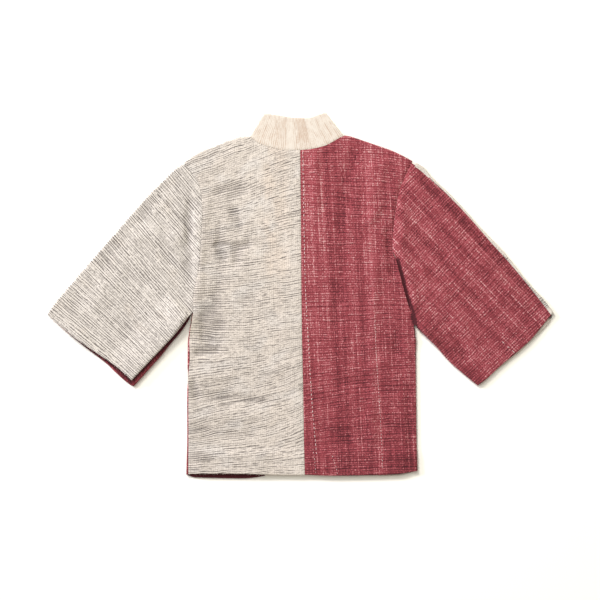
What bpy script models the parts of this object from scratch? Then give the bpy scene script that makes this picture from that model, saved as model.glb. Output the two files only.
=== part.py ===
# A collared kimono jacket in thick hand-woven cotton, laid flat with its back upwards.
# One half of the back is ecru and the other raspberry, and the colours swap on the front.
# X runs to the right and Y towards the collar as one looks down on it, Z is up.
# The origin is under the middle of the jacket, on the surface that it lies on.
import math

import bpy
import numpy as np

# Sizes, in millimetres
CLOTH = 1.5          # thickness of the body and sleeve cloth
BAND = 3.0           # thickness of the collar, which is the cloth folded double
SEAM = 0.3           # gap left at every seam, and between layers that touch
HEM = 27.0           # depth of the hem at the lower edge and at the cuffs
BAND_WIDE = 76.0     # width of the collar band down the fronts
REST = 4.1           # height of the upper layer's middle where nothing lifts it
LOWEST = 2.6         # lowest that it can lie over the front layer
OVER_BAND = 4.1      # lowest that it can lie over the collar band
HIGHEST = 6.1        # highest that it lies away from a cuff
HEM_HIGH = 6.15      # its height where both hems lie under it
LOW_HIGH = 6.2       # its height along the lower edge of the left sleeve, over a roll
LOW_ROLL = 4.35      # height of the top of that roll's middle
CUFF_LIFT = 2.8      # how far the ecru cuff stands off the raspberry one below it
COLLAR_HIGH = 4.9    # height of the collar's middle behind the neck
UNDER = CLOTH / 2    # height of the middle of the layer that rests on the surface
TUCK = 4.0           # how far a rolled edge runs back under the panel
TO_ORIGIN = (-1.0, 0.4)   # moves the outline's middle onto the origin

# Seam and edge lines as seen from above. Each row is x, y in millimetres.
CENTRE_BACK = ((0.5, 336.9), (2.1, 186), (3, 37), (4.8, -101), (6.9, -193), (9.2, -331), (11, -409))
NECK_LEFT = ((-113.8, 365.7), (-90.8, 350.8), (-67.8, 343.8), (-44.8, 337.5), (-21.8, 336.3), (0.5, 336.9))
NECK_RIGHT = ((0.5, 336.9), (28.7, 339.9), (58.6, 347.3), (81.6, 359.5), (97.7, 368.5))
COLLAR_TOP = ((-80.5, 417.4), (-63, 415.4), (-45, 413.3), (-22, 409.4), (-3, 407.8), (19.5, 408.2),
              (31, 411), (42.5, 415), (58.6, 419.7))
SHOULDER_LEFT = ((-267.4, 306.3), (-251.8, 316.2), (-228.8, 328.9), (-205.8, 338.1), (-182.8, 347.3),
                 (-159.8, 356.5), (-136.8, 363.4), (-116.1, 368))
SHOULDER_RIGHT = ((99.6, 369.5), (116.1, 366.5), (139.1, 358.6), (162.1, 350.6), (185.1, 342.7),
                  (208.1, 334.6), (231.1, 324.3), (258.3, 310.9))
ARMHOLE_LEFT = ((-267.9, 305.9), (-247.2, 280.6), (-231.1, 253), (-224.2, 193), (-227.7, 133),
                (-231.1, 80.5), (-235.7, 51.5), (-245.4, 4.6), (-246.4, -38.4))
ARMHOLE_RIGHT = ((258.8, 310.5), (232.8, 257.6), (221.9, 212), (213.7, 147), (212.7, 103.5))
SLIT_RIGHT = ((212.7, 103.5), (220.8, 84), (231.5, 43.7), (243.5, -2.3), (256, -40), (263.3, -69))
SIDE_LEFT = ((-246.4, -38.4), (-250.2, -66.7), (-254.3, -101), (-255.3, -136), (-255.3, -239), (-255.3, -377), (-255.3, -408.5))
SIDE_LEFT_OUT = ((-250.3, -38.4), (-254.5, -66.7), (-258.6, -101), (-259.9, -136), (-259.2, -239),
                 (-259, -331), (-260.4, -377), (-260.4, -408.5))
SIDE_RIGHT_OUT = ((263.3, -69), (266.8, -101), (266.8, -147), (267.9, -228), (269.1, -331), (270.2, -400))
HEM_LEFT = ((-255.3, -408.5), (-171.3, -407.1), (-83.9, -409.4), (11, -409))
HEM_RIGHT = ((11, -409), (70, -411.7), (139, -411), (219.6, -408.2), (249.5, -403.6), (270.2, -400))
FRONT_HEM_LEFT = ((-260.4, -408.5), (-228.8, -416), (-136.8, -419), (-81, -416))
FRONT_HEM_RIGHT = ((79, -411), (139, -411), (219.6, -411), (247, -406.5), (264, -401))

SLEEVE_LEFT_TOP = ((-268.3, 305.4), (-288.6, 292), (-313.9, 266.8), (-343.8, 239.2), (-369.1, 211.6),
                   (-392.1, 184), (-412.8, 156.4), (-440.4, 128.8), (-468, 101.2), (-486.4, 73.6),
                   (-509.4, 46), (-537, 18.4), (-560, -9.2), (-580.8, -39.1))
CUFF_LEFT = ((-580.8, -39.1), (-555.4, -64.4), (-523.2, -92), (-488.7, -117.3), (-447.3, -144.9),
             (-412.8, -170.2), (-387.5, -193.2))
SLEEVE_LEFT_LOW = ((-251.2, -39.5), (-286.3, -85.1), (-320.8, -121.9), (-355.3, -158.7), (-387.5, -193.2))
FRONT_CUFF_LEFT = ((-577, -40.5), (-555.4, -63), (-523.2, -91.5), (-488.7, -119.4), (-447.3, -150.6),
                   (-424.3, -172.5), (-401.3, -193.2), (-382.9, -207))
SLEEVE_LEFT_OUT = ((-251.6, -42), (-277, -77), (-304, -108.5), (-324, -133.5), (-355.3, -177.5),
                   (-382.9, -207))

SLEEVE_RIGHT_TOP = ((259.5, 310.2), (273, 305), (288.6, 293), (311.6, 266.8), (341.5, 239.2), (380.6, 197.8),
                    (417.4, 156.4), (470.3, 101.2), (514, 46), (562.3, -9.2), (583, -36.8))
SEAM_RIGHT_TOP = ((255.5, 304), (277.1, 287), (300.1, 265), (346.1, 221.5), (392.1, 173.5), (438.1, 121.9),
                  (484.1, 69), (530.1, 13), (551, -13), (575.7, -43))
CUFF_RIGHT = ((575.7, -43), (564.6, -56), (530.1, -97.7), (495.6, -128.8), (461.1, -157.5),
              (426.6, -189.7), (408.2, -204.2))
FRONT_CUFF_RIGHT = ((583, -36.8), (578.4, -50.6), (557.8, -78.2), (530.1, -105.8), (500.2, -133.4),
                    (465.7, -161), (418, -199))
SLEEVE_RIGHT_LOW = ((267.5, -70), (277.1, -80.5), (311.6, -113.8), (346.1, -151.8), (380.6, -181.7),
                    (408.2, -204.2))

# The collar band down each front. Each row is the seam's x, y, then the free edge's x, y.
BAND_LEFT = ((-113.8, 365.7, -80.5, 417.4), (-108, 330, -52, 381), (-99, 270, -29, 310),
             (-90, 195, -12, 222), (-84, 110, -4.5, 118), (-81, 0, -3.5, 0), (-80, -200, -3, -200),
             (-80, -414.5, -3, -414.5))
BAND_RIGHT = ((97.7, 368.5, 58.6, 419.7), (95, 330, 34, 380), (90, 270, 17, 310),
              (84, 195, 5, 222), (80, 110, -1, 118), (78, 0, -1, 0), (77.5, -200, -0.6, -200),
              (77.5, -411, -0.6, -411))

# The main folds of the upper layer. Each row is a fold's two ends x, y, x, y, then its
# half width and its height, which is less than nothing for a hollow.
FOLDS = (
    (-226, 188, -246, 0, 16, 1.5),       # roll beside the left armhole
    (-192, 253, -128, 240, 24, -1.1),    # hollow under the left shoulder
    (-155, 170, -185, 80, 20, -1.2),
    (-185, 64, -185, 0, 15, -1.3),
    (-232, -12, -168, -92, 17, -1.4),    # drag lines from the left underarm
    (-232, -116, -178, -152, 14, -1.2),
    (-214, -60, -150, -20, 13, 1.0),
    (-238, -204, -178, -196, 20, 0.9),
    (-170, -186, -110, -234, 20, -1.0),
    (-138, -318, -70, -300, 24, -1.0),
    (-238, -364, -190, -356, 22, -1.1),
    (-70, -365, -20, -352, 20, -0.8),
    (-12, 300, -8, -360, 9, 0.9),        # fullness beside the centre back seam
    (-60, 120, -48, -120, 26, 0.7),
    (148, 294, 93, 184, 22, -1.3),       # drag lines from the right shoulder
    (91, 110, 91, 0, 20, -1.1),
    (158, 290, 158, 130, 12, 0.9),
    (204, 138, 204, 55, 14, -1.1),
    (227, 156, 222, 118, 9, 1.1),
    (240, -105, 225, -90, 14, 0.9),
    (29, -248, 110, -212, 16, -1.1),
    (110, -212, 214, -222, 16, -1.0),
    (172, -150, 168, -370, 14, 0.8),
    (102, -322, 120, -368, 18, -0.8),
    (60, -362, 66, -352, 18, 0.8),
    (240, -276, 256, -262, 16, -1.0),
    (-238, 230, -256, 156, 17, -1.1),    # hollows on the left sleeve
    (-262, 150, -275, 37, 17, -1.1),
    (-312, 257, -428, 92, 17, -1.2),
    (-428, 92, -478, 37, 17, -1.0),
    (-394, 101, -302, 92, 24, 1.1),
    (-350, -40, -300, -118, 24, 1.2),
    (-545, -28, -530, -18, 18, -1.1),
    (-360, 20, -410, -60, 20, 0.8),
    (-470, -20, -440, 20, 20, 0.7),
    (264, 271, 272, 250, 16, -1.2),      # folds along the right sleeve
    (305, 248, 490, 74, 10, -1.2),
    (278, 232, 490, 28, 16, 1.2),
    (266, 146, 330, 60, 18, -1.0),
    (300, 20, 400, -90, 20, 0.9),
    (250, 60, 300, -40, 14, 0.9),
    (400, 60, 460, -20, 20, -0.7),
    (340, -60, 380, -130, 16, -0.8),
)

COLOURS = {   # linear red, green, blue and roughness of each cloth
    "ecru_cloth": (0.70, 0.60, 0.53, 0.9),
    "raspberry_cloth": (0.37, 0.092, 0.108, 0.9),
    "ivory_band": (0.90, 0.77, 0.65, 0.9),
}


# Lines and surfaces
def trace(rows, steps):
    """Points at a share of the way, or at so many even steps, along a smooth line through the rows."""
    rows = np.array(rows, float)
    ends = np.vstack([2 * rows[0] - rows[1], rows, 2 * rows[-1] - rows[-2]])
    fine = []
    for k in range(len(rows) - 1):
        a, b, c, d = ends[k:k + 4]
        for s in np.linspace(0, 1, 24, endpoint=False):
            fine.append(0.5 * (2 * b + (c - a) * s + (2 * a - 5 * b + 4 * c - d) * s ** 2
                               + (3 * b - a - 3 * c + d) * s ** 3))
    fine = np.array(fine + [rows[-1]])
    run = np.r_[0, np.cumsum(np.linalg.norm(np.diff(fine[:, :2], axis=0), axis=1))]
    share = np.linspace(0, 1, steps + 1) if isinstance(steps, int) else np.array(steps)
    return np.column_stack([np.interp(share * run[-1], run, fine[:, k]) for k in range(rows.shape[1])])


def to_hem(rows, count):
    """Even steps along a line, then two more across the hem at its far end."""
    length = np.linalg.norm(np.diff(np.array(rows)[:, :2], axis=0), axis=1).sum()
    deep = HEM / length
    return np.r_[np.linspace(0, 1 - deep, count + 1), 1 - deep / 2, 1]


def join(*lines):
    """One line from several that meet end to end."""
    return np.vstack([lines[0]] + [line[1:] for line in lines[1:]])


def across(line):
    """The direction to the left of a line at each of its points."""
    way = np.gradient(np.array(line)[:, :2], axis=0)
    way /= np.linalg.norm(way, axis=1)[:, None]
    return np.column_stack([-way[:, 1], way[:, 0]])


def aside(line, amount):
    """The line moved to its left by the amount, or to its right if that is less than nothing."""
    return line[:, :2] + across(line) * np.reshape(amount, (-1, 1))


def fill(top, bottom, left, right):
    """A grid of points between four edge lines, rows from top to bottom."""
    left, right = left.copy(), right.copy()
    left[0], left[-1], right[0], right[-1] = top[0], bottom[0], top[-1], bottom[-1]
    v = np.linspace(0, 1, len(left))[:, None, None]
    u = np.linspace(0, 1, len(top))[None, :, None]
    sheet = (1 - v) * top[None] + v * bottom[None] + (1 - u) * left[:, None] + u * right[:, None]
    return sheet - ((1 - u) * (1 - v) * top[0] + u * (1 - v) * top[-1]
                    + (1 - u) * v * bottom[0] + u * v * bottom[-1])


def smooth(x):
    """A soft step from 0 to 1."""
    x = np.clip(x, 0, 1)
    return x * x * (3 - 2 * x)


def beside(x, y, a, b):
    """How far each place lies along and to the left of the line from a to b."""
    way = np.array(b, float) - a
    long = np.hypot(*way)
    way /= long
    return (x - a[0]) * way[0] + (y - a[1]) * way[1], (y - a[1]) * way[0] - (x - a[0]) * way[1], long


def folds(x, y):
    """Height of the folds above or below the resting level at each place."""
    lift = np.zeros_like(x)
    for x0, y0, x1, y1, half, high in FOLDS:
        run, off, long = beside(x, y, (x0, y0), (x1, y1))
        past = np.maximum(0, np.maximum(-run, run - long))
        lift += high * np.exp(-(off / half) ** 2 - (past / (1.3 * half)) ** 2)
    return lift


def upper(x, y):
    """Height of the upper layer's middle at each place."""
    wide = BAND_WIDE + 12 + 32 * smooth((y - 100) / 250)
    over_band = 1 - smooth((np.abs(x + 1) - wide) / 30)
    z = np.clip(REST + folds(x, y), LOWEST + (OVER_BAND - LOWEST) * over_band, HIGHEST - 0.4)
    body = np.where(np.abs(x) < 275, y + 409, 999.0)
    left = beside(x, y, CUFF_LEFT[0], CUFF_LEFT[-1])
    right = beside(x, y, CUFF_RIGHT[-1], CUFF_RIGHT[0])
    edge = np.where(body < 200, body, np.where(x < 0, left[1], right[1]))
    z = z + (HEM_HIGH - z) * (1 - smooth((edge - HEM - 14) / 24))
    low = beside(x, y, SLEEVE_LEFT_LOW[0], SLEEVE_LEFT_LOW[-1])
    near = (1 - smooth((-low[1] - 8) / 34)) * smooth((low[0] - 4) / 24) * (x < -249) * (low[1] < 12)
    z = z + np.maximum(0, LOW_HIGH - z) * near
    return z + CUFF_LIFT * (1 - smooth((left[1] - 1) / 22)) * smooth((left[0] - 20) / 90) * (x < -300)


def raised(points, more=0.0):
    """Puts flat points at the upper layer's height."""
    return np.dstack([points, upper(points[..., 0], points[..., 1]) + more]).reshape(points.shape[:-1] + (3,))


def resting(points, level=UNDER):
    """Puts flat points on the surface that the jacket lies on."""
    return np.concatenate([points, np.full(points.shape[:-1] + (1,), level)], axis=-1)


def rolled(line, side, level=None):
    """Where the roll of an edge starts: inside the outline by the roll's own size.
    The side is -1 if the piece lies to the right of the line and 1 if to the left."""
    start = aside(line, 3 * side)
    for _ in range(3):
        top = upper(start[:, 0], start[:, 1]) if level is None else level
        start = aside(line, side * ((top - UNDER) / 2 + CLOTH / 2))
    return start


# Cloth walls
class Cloth:
    """The middle surface of one piece of cloth, grown from edge to edge.
    Edges are named clockwise as seen from above, so that outward is to their left."""

    def __init__(self, grid):
        self.points = []
        self.faces = []
        self.rows = [self.add(row) for row in grid]
        for a, b in zip(self.rows, self.rows[1:]):
            self.stitch(b, a)

    def add(self, places):
        """Adds points and returns their numbers."""
        first = len(self.points)
        self.points += [tuple(p) for p in places]
        return list(range(first, first + len(places)))

    def stitch(self, a, b):
        """Joins two rows of points with faces."""
        for k in range(len(a) - 1):
            self.faces.append((a[k], a[k + 1], b[k + 1], b[k]))

    def where(self, row):
        return np.array([self.points[k] for k in row])

    def normals(self):
        points = np.array(self.points)
        total = np.zeros_like(points)
        for face in self.faces:
            a, b, c, d = points[list(face)]
            total[list(face)] += np.cross(c - a, d - b)
        return total / np.linalg.norm(total, axis=1)[:, None]

    def roll(self, row, end):
        """Rolls the cloth half way round over an edge and runs it back to the end line."""
        edge = self.where(row)
        out = across(edge)
        radius = (edge[:, 2] - end[:, 2]) / 2
        made = []
        for turn in np.radians((45, 90, 135, 180)):
            place = edge.copy()
            place[:, :2] += out * (np.abs(radius) * math.sin(turn))[:, None]
            place[:, 2] += radius * (math.cos(turn) - 1)
            made.append(self.add(place))
        made.append(self.add(end))
        for a, b in zip([row] + made, made):
            self.stitch(a, b)
        return made

    def hem(self, row, deep, inside):
        """Turns the cloth in at an edge. The deep rows lie further in, and the inside is
        1 where it is above the cloth and -1 where it is below."""
        half = inside * (CLOTH + SEAM) / 2
        normal = self.normals()
        edge = self.where(row)
        way = edge - self.where(deep[0])
        way /= np.linalg.norm(way, axis=1)[:, None]
        last = row
        for turn in np.radians((60, 120, 180)):
            place = edge + normal[row] * half * (1 - math.cos(turn)) + way * abs(half) * math.sin(turn)
            last, before = self.add(place), last
            self.stitch(before, last)
        for line in deep:
            last, before = self.add(self.where(line) + normal[line] * 2 * half), last
            self.stitch(before, last)

    def solid(self, name, thick, colour):
        """Gives the surface its thickness and makes the object."""
        points = np.array(self.points)
        normal = self.normals()
        total = len(points)
        verts = np.vstack([points + normal * thick / 2, points - normal * thick / 2])
        verts[:, :2] += TO_ORIGIN
        faces = [tuple(f) for f in self.faces] + [tuple(k + total for k in reversed(f)) for f in self.faces]
        sides = {(f[k], f[(k + 1) % 4]) for f in self.faces for k in range(4)}
        for a, b in sorted(sides):
            if (b, a) not in sides:
                faces.append((b, a, a + total, b + total))
        mesh = bpy.data.meshes.new(name)
        mesh.from_pydata((verts / 1000).tolist(), [], faces)
        mesh.materials.append(material(colour))
        thing = bpy.data.objects.new(name, mesh)
        bpy.context.scene.collection.objects.link(thing)
        thing.parent = bpy.data.objects["jacket"]


def material(name):
    """The cloth's material, made once."""
    if name in bpy.data.materials:
        return bpy.data.materials[name]
    red, green, blue, rough = COLOURS[name]
    made = bpy.data.materials.new(name)
    made.use_nodes = True
    shader = made.node_tree.nodes["Principled BSDF"]
    shader.inputs["Base Color"].default_value = (red, green, blue, 1)
    shader.inputs["Roughness"].default_value = rough
    shader.inputs["Metallic"].default_value = 0
    made.diffuse_color = (red, green, blue, 1)
    return made


for thing in list(bpy.data.objects):
    bpy.data.objects.remove(thing, do_unlink=True)
jacket = bpy.data.objects.new("jacket", None)
bpy.context.scene.collection.objects.link(jacket)

# The lines that two or more pieces share, in the same steps for each
ARM, SIDE, SHOULDER, NECK, ALONG = 15, 12, 10, 7, 12     # number of steps
centre = trace(CENTRE_BACK, np.r_[np.linspace(0, 0.52, ARM + 1), np.linspace(0.52, 1 - HEM / 746, SIDE + 1)[1:],
                                  1 - HEM / 1492, 1])
arm_left = trace(ARMHOLE_LEFT, ARM)
arm_right = join(trace(ARMHOLE_RIGHT, 9), trace(SLIT_RIGHT, ARM - 9))
slit = np.r_[np.zeros(10), 2.0, 3.4, 4.4, 4.6, 4.4, 3.4]
neck_left = trace(NECK_LEFT, NECK)
neck_right = trace(NECK_RIGHT, NECK)
shoulder_left = rolled(trace(SHOULDER_LEFT, SHOULDER), -1)
shoulder_right = rolled(trace(SHOULDER_RIGHT, SHOULDER), -1)
side_left = trace(SIDE_LEFT, to_hem(SIDE_LEFT, SIDE))
side_right = rolled(trace(SIDE_RIGHT_OUT, to_hem(SIDE_RIGHT_OUT, SIDE)), -1)
band_left = trace(BAND_LEFT, to_hem(BAND_LEFT, ARM + SIDE))
band_right = trace(BAND_RIGHT, to_hem(BAND_RIGHT, ARM + SIDE))
low_left = trace(SLEEVE_LEFT_LOW, to_hem(SLEEVE_LEFT_LOW, ALONG))
top_left = rolled(trace(SLEEVE_LEFT_TOP, to_hem(SLEEVE_LEFT_TOP, ALONG)), 1)
low_right = rolled(trace(SLEEVE_RIGHT_LOW, to_hem(SLEEVE_RIGHT_LOW, ALONG)), 1)


# Back panels. The shoulders roll over to the front, and the right side rolls under.
def back_left():
    top = np.vstack([shoulder_left, aside(neck_left, -SEAM / 2)])
    grid = fill(top, trace(HEM_LEFT, len(top) - 1), aside(join(arm_left, side_left), SEAM / 2),
                aside(centre, -SEAM / 2))
    grid[[0, -1], -1, 0] -= SEAM / 2
    cloth = Cloth(raised(grid))
    cloth.roll(cloth.rows[0][:SHOULDER + 1], resting(aside(shoulder_left, -TUCK)))
    cloth.hem(cloth.rows[-1][::-1], [row[::-1] for row in (cloth.rows[-2], cloth.rows[-3])], -1)
    cloth.solid("back_left", CLOTH, "ecru_cloth")


def back_right():
    top = np.vstack([aside(neck_right, -SEAM / 2), shoulder_right])
    edge = np.vstack([aside(arm_right, -SEAM / 2)[:-1], side_right])
    grid = fill(top, trace(HEM_RIGHT, len(top) - 1), aside(centre, SEAM / 2), edge)
    grid[[0, -1], 0, 0] += SEAM / 2
    grid[-1, -1] = side_right[-1]
    cloth = Cloth(raised(grid))
    cloth.roll(cloth.rows[0][NECK + 1:], resting(aside(shoulder_right, -TUCK)))
    side = cloth.roll([row[-1] for row in cloth.rows[ARM:]], resting(aside(side_right, -TUCK)))
    under = [[row[-k] for row in side[::-1]] + cloth.rows[-k][::-1] for k in (1, 2, 3)]
    cloth.hem(under[0], under[1:], -1)
    cloth.solid("back_right", CLOTH, "raspberry_cloth")


# Front panels. The left one rolls up round the side to the back.
def front_left():
    side = rolled(trace(SIDE_LEFT_OUT, to_hem(SIDE_LEFT_OUT, SIDE)), 1)
    top = aside(shoulder_left, -TUCK - SEAM)
    edge = np.vstack([aside(arm_left, SEAM / 2)[:-1], side])
    bottom = trace(FRONT_HEM_LEFT, SHOULDER)
    bottom[0], bottom[-1] = side[-1], aside(band_left, -SEAM / 2)[-1]
    cloth = Cloth(resting(fill(top, bottom, edge, aside(band_left, -SEAM / 2))))
    seam = aside(side_left, -SEAM / 2)[::-1]
    over = cloth.roll([row[0] for row in cloth.rows[ARM:]][::-1], raised(seam[None])[0])
    turned = [cloth.rows[-k][::-1] + [row[k - 1] for row in over] for k in (1, 2, 3)]
    cloth.hem(turned[0], turned[1:], 1)
    cloth.solid("front_left", CLOTH, "raspberry_cloth")


def front_right():
    top = aside(shoulder_right, -TUCK - SEAM)
    edge = np.vstack([aside(arm_right, -SEAM / 2)[:-1], aside(side_right, -TUCK - SEAM)])
    bottom = trace(FRONT_HEM_RIGHT, SHOULDER)
    bottom[0], bottom[-1] = aside(band_right, SEAM / 2)[-1], edge[-1]
    cloth = Cloth(resting(fill(top, bottom, aside(band_right, SEAM / 2), edge)))
    cloth.hem(cloth.rows[-1][::-1], [row[::-1] for row in (cloth.rows[-2], cloth.rows[-3])], 1)
    cloth.solid("front_right", CLOTH, "ecru_cloth")


# Left sleeve, from cuff to armhole. Its ecru half rolls under along the top, and its
# raspberry half rolls up along the lower edge and runs under the ecru one.
def sleeve_left_back():
    low = aside(low_left, -SEAM / 2)
    grid = fill(top_left[::-1], low[::-1], trace(CUFF_LEFT, ARM), aside(arm_left, -SEAM / 2))
    cloth = Cloth(raised(grid))
    top = cloth.roll(cloth.rows[0], resting(aside(top_left, TUCK)[::-1]))
    cuff = [[row[k] for row in cloth.rows[::-1][1:] + top] for k in (0, 1, 2)]
    cloth.hem(cuff[0], cuff[1:], -1)
    cloth.solid("sleeve_left_back", CLOTH, "ecru_cloth")


def sleeve_left_front():
    low = rolled(trace(SLEEVE_LEFT_OUT, to_hem(SLEEVE_LEFT_OUT, ALONG)), -1, LOW_ROLL)
    grid = fill(aside(top_left, TUCK + SEAM)[::-1], low[::-1], trace(FRONT_CUFF_LEFT, ARM),
                aside(arm_left, -SEAM / 2))
    cloth = Cloth(resting(grid))
    lapped = aside(low_left, -np.interp(np.arange(len(low)), (0, 3, 6), (0.5, 1.5, 3)))[2:]
    cloth.roll(cloth.rows[-1][::-1][2:], resting(lapped, LOW_ROLL))
    cuff = [[row[k] for row in cloth.rows[::-1]] for k in (0, 1, 2)]
    cloth.hem(cuff[0], cuff[1:], 1)
    cloth.solid("sleeve_left_front", CLOTH, "raspberry_cloth")


# Right sleeve, from armhole to cuff. Its ecru half rolls up over the top edge, and its
# raspberry half rolls under along the lower edge and is open to the body at the underarm.
def sleeve_right_back():
    top = aside(trace(SEAM_RIGHT_TOP, to_hem(SEAM_RIGHT_TOP, ALONG)), -SEAM / 2)
    grid = fill(top, low_right, aside(arm_right, SEAM / 2 + slit), trace(CUFF_RIGHT, ARM))
    cloth = Cloth(raised(grid))
    low = cloth.roll(cloth.rows[-1][::-1], resting(aside(low_right, TUCK)[::-1]))
    cuff = [[row[-k] for row in cloth.rows] + [row[k - 1] for row in low] for k in (1, 2, 3)]
    cloth.hem(cuff[0], cuff[1:], -1)
    cloth.solid("sleeve_right_back", CLOTH, "raspberry_cloth")


def sleeve_right_front():
    top = rolled(trace(SLEEVE_RIGHT_TOP, to_hem(SLEEVE_RIGHT_TOP, ALONG)), -1)
    grid = fill(top, aside(low_right, TUCK + SEAM), aside(arm_right, SEAM / 2), trace(FRONT_CUFF_RIGHT, ARM))
    cloth = Cloth(resting(grid))
    seam = aside(trace(SEAM_RIGHT_TOP, to_hem(SEAM_RIGHT_TOP, ALONG)), SEAM / 2)
    cloth.roll(cloth.rows[0], raised(seam[None])[0])
    cuff = [[row[-k] for row in cloth.rows[1:]] for k in (1, 2, 3)]
    cloth.hem(cuff[0], cuff[1:], 1)
    cloth.solid("sleeve_right_front", CLOTH, "ecru_cloth")


# The collar is one long band. It lies across the back of the neck, folds over at each
# side of it and runs down both fronts to the hem.
def collar():
    steps = np.linspace(0, 1, 4)[:, None]
    half_up = (COLLAR_HIGH - BAND / 2) / 2
    seam = aside(join(neck_left, neck_right), SEAM / 2)
    top = trace(COLLAR_TOP, len(seam) - 1)
    ends = {}
    for side, row in ((0, BAND_LEFT[0]), (-1, BAND_RIGHT[0])):
        low, high = np.array(row[:2]), np.array(row[2:])
        way = (high - low) / np.hypot(*(high - low))
        out = np.array([-way[1], way[0]]) * (1 if side == 0 else -1)
        ends[side] = low - out * (half_up + BAND / 2) + way * 0.9, high - out * (half_up + BAND / 2), out
        seam[side], top[side] = ends[side][:2]
    back = [resting(a + (b - a) * steps, COLLAR_HIGH) for a, b in zip(seam, top)]
    turns = np.radians((135, 90, 45))
    folded = {}
    for side in (0, -1):
        low, high, out = ends[side]
        flat = low + (high - low) * steps
        folded[side] = [resting(flat, BAND / 2)] + [
            resting(flat + out * half_up * math.sin(t), BAND / 2 + half_up * (1 + math.cos(t))) for t in turns]
    down = {}
    for side, band, shift in ((0, band_left, SEAM / 2), (-1, band_right, -SEAM / 2)):
        inner = aside(band, shift)[1:]
        down[side] = [resting(a + (b - a) * steps, BAND / 2) for a, b in zip(inner, band[1:, 2:])]
    rows = down[0][::-1] + folded[0] + back + folded[-1][::-1] + down[-1]
    Cloth(np.array(rows)).solid("collar", BAND, "ivory_band")


for make in (back_left, back_right, front_left, front_right, sleeve_left_back, sleeve_left_front,
             sleeve_right_back, sleeve_right_front, collar):
    make()
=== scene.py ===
# %% [markdown]
# # A two-coloured kimono jacket, laid flat with its back upwards
# The real jacket is sewn from thick hand-woven cotton in two colours. One half of the back is
# ecru and the other raspberry, and the colours swap on the front. A straight ivory band makes
# the collar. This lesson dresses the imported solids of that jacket: every panel is made again as
# a finer sheet of cloth on the same seam lines, with its creases and its weave.

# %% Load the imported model
import math

import bpy
import numpy as np
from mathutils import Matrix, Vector


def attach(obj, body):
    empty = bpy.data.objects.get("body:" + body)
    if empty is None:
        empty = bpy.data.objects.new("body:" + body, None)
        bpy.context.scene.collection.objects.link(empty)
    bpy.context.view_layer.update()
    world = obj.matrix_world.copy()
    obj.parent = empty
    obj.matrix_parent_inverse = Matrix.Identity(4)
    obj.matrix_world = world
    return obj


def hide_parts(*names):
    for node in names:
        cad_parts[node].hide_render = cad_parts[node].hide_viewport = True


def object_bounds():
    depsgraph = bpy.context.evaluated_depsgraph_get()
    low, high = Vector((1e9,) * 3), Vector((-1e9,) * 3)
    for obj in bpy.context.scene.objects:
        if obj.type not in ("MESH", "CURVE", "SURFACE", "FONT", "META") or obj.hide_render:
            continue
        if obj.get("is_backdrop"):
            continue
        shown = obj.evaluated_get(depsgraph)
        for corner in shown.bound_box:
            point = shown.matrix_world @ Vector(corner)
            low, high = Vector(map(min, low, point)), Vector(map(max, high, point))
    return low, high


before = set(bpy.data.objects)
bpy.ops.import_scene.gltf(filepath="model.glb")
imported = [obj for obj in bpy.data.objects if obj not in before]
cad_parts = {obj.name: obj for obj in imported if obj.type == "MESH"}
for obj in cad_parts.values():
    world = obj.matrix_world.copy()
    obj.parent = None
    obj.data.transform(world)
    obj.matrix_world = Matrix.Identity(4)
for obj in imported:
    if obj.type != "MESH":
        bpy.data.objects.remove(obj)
cad_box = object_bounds()
print("nodes to dress:", ", ".join(sorted(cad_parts)))

# %% [markdown]
# ## Sizes
# The sizes are those of the solids, in millimetres, so that each sheet lies where its solid does.
# A few are the scene's own: how much deeper the creases go than on the plain solids, and into
# how many steps each edge is cut. A sheet needs a step of about 4 mm to bend round its creases.

# %% Sizes, in millimetres
CLOTH = 1.5          # thickness of the body and sleeve cloth
BAND = 3.0           # thickness of the collar band, which is the cloth folded double
SEAM = 0.3           # gap left at every seam, and between layers that touch
HEM = 27.0           # depth of the hem at the lower edge and at the cuffs
BAND_WIDE = 76.0     # width of the collar band down the fronts
REST = 6.0           # height of the upper layer's middle where nothing lifts it
LOWEST = 2.6         # lowest that it can lie over the front layer
OVER_BAND = 4.1      # lowest that it can lie over the collar band
HIGHEST = 9.6        # highest that a crease lifts it
HEM_HIGH = 6.15      # its height where both hems lie under it
LOW_HIGH = 14.6      # its height along the lower edge of the left sleeve, over a roll
LOW_ROLL = 7.0       # height of the top of that roll's middle
SIDE_HIGH = 3.4      # its height at the pressed folds on the right
ARMPIT_LIFT = 5.0    # how far the right sleeve's lower edge stands up beside the body
CUFF_LIFT = 5.6      # how far the ecru cuff stands off the raspberry one below it
HEM_LIFT = 4.6       # how far the ecru hem stands off the raspberry one below it
COLLAR_HIGH = 4.9    # height of the collar's middle behind the neck
UNDER = CLOTH / 2    # height of the middle of the layer that rests on the surface
TUCK = 4.0           # how far a rolled edge runs back under the panel
TO_ORIGIN = (-1.0, 0.4)   # moves the outline's middle onto the origin
DEEPER = 2.7         # how many times deeper the main folds are than on the solids

FINE = 6             # steps here for one step on the solids
ARM, SIDE, SHOULDER, NECK = 15 * FINE, 12 * FINE, 7 * FINE, 4 * FINE   # steps along each edge
ALONG = 18 * 2 * FINE   # steps along a sleeve
HEM_STEPS, TURN_STEPS = 8, 8   # steps across a hem, and round a roll
print("steps round a body panel:", 2 * (ARM + SIDE + HEM_STEPS + SHOULDER + NECK))

# %% [markdown]
# ## Seam and edge lines
# A paper pattern is a set of lines, and so is this one. Each line runs along a seam or an edge as
# seen from above, and two panels that are sewn together share the line between them.

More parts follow.
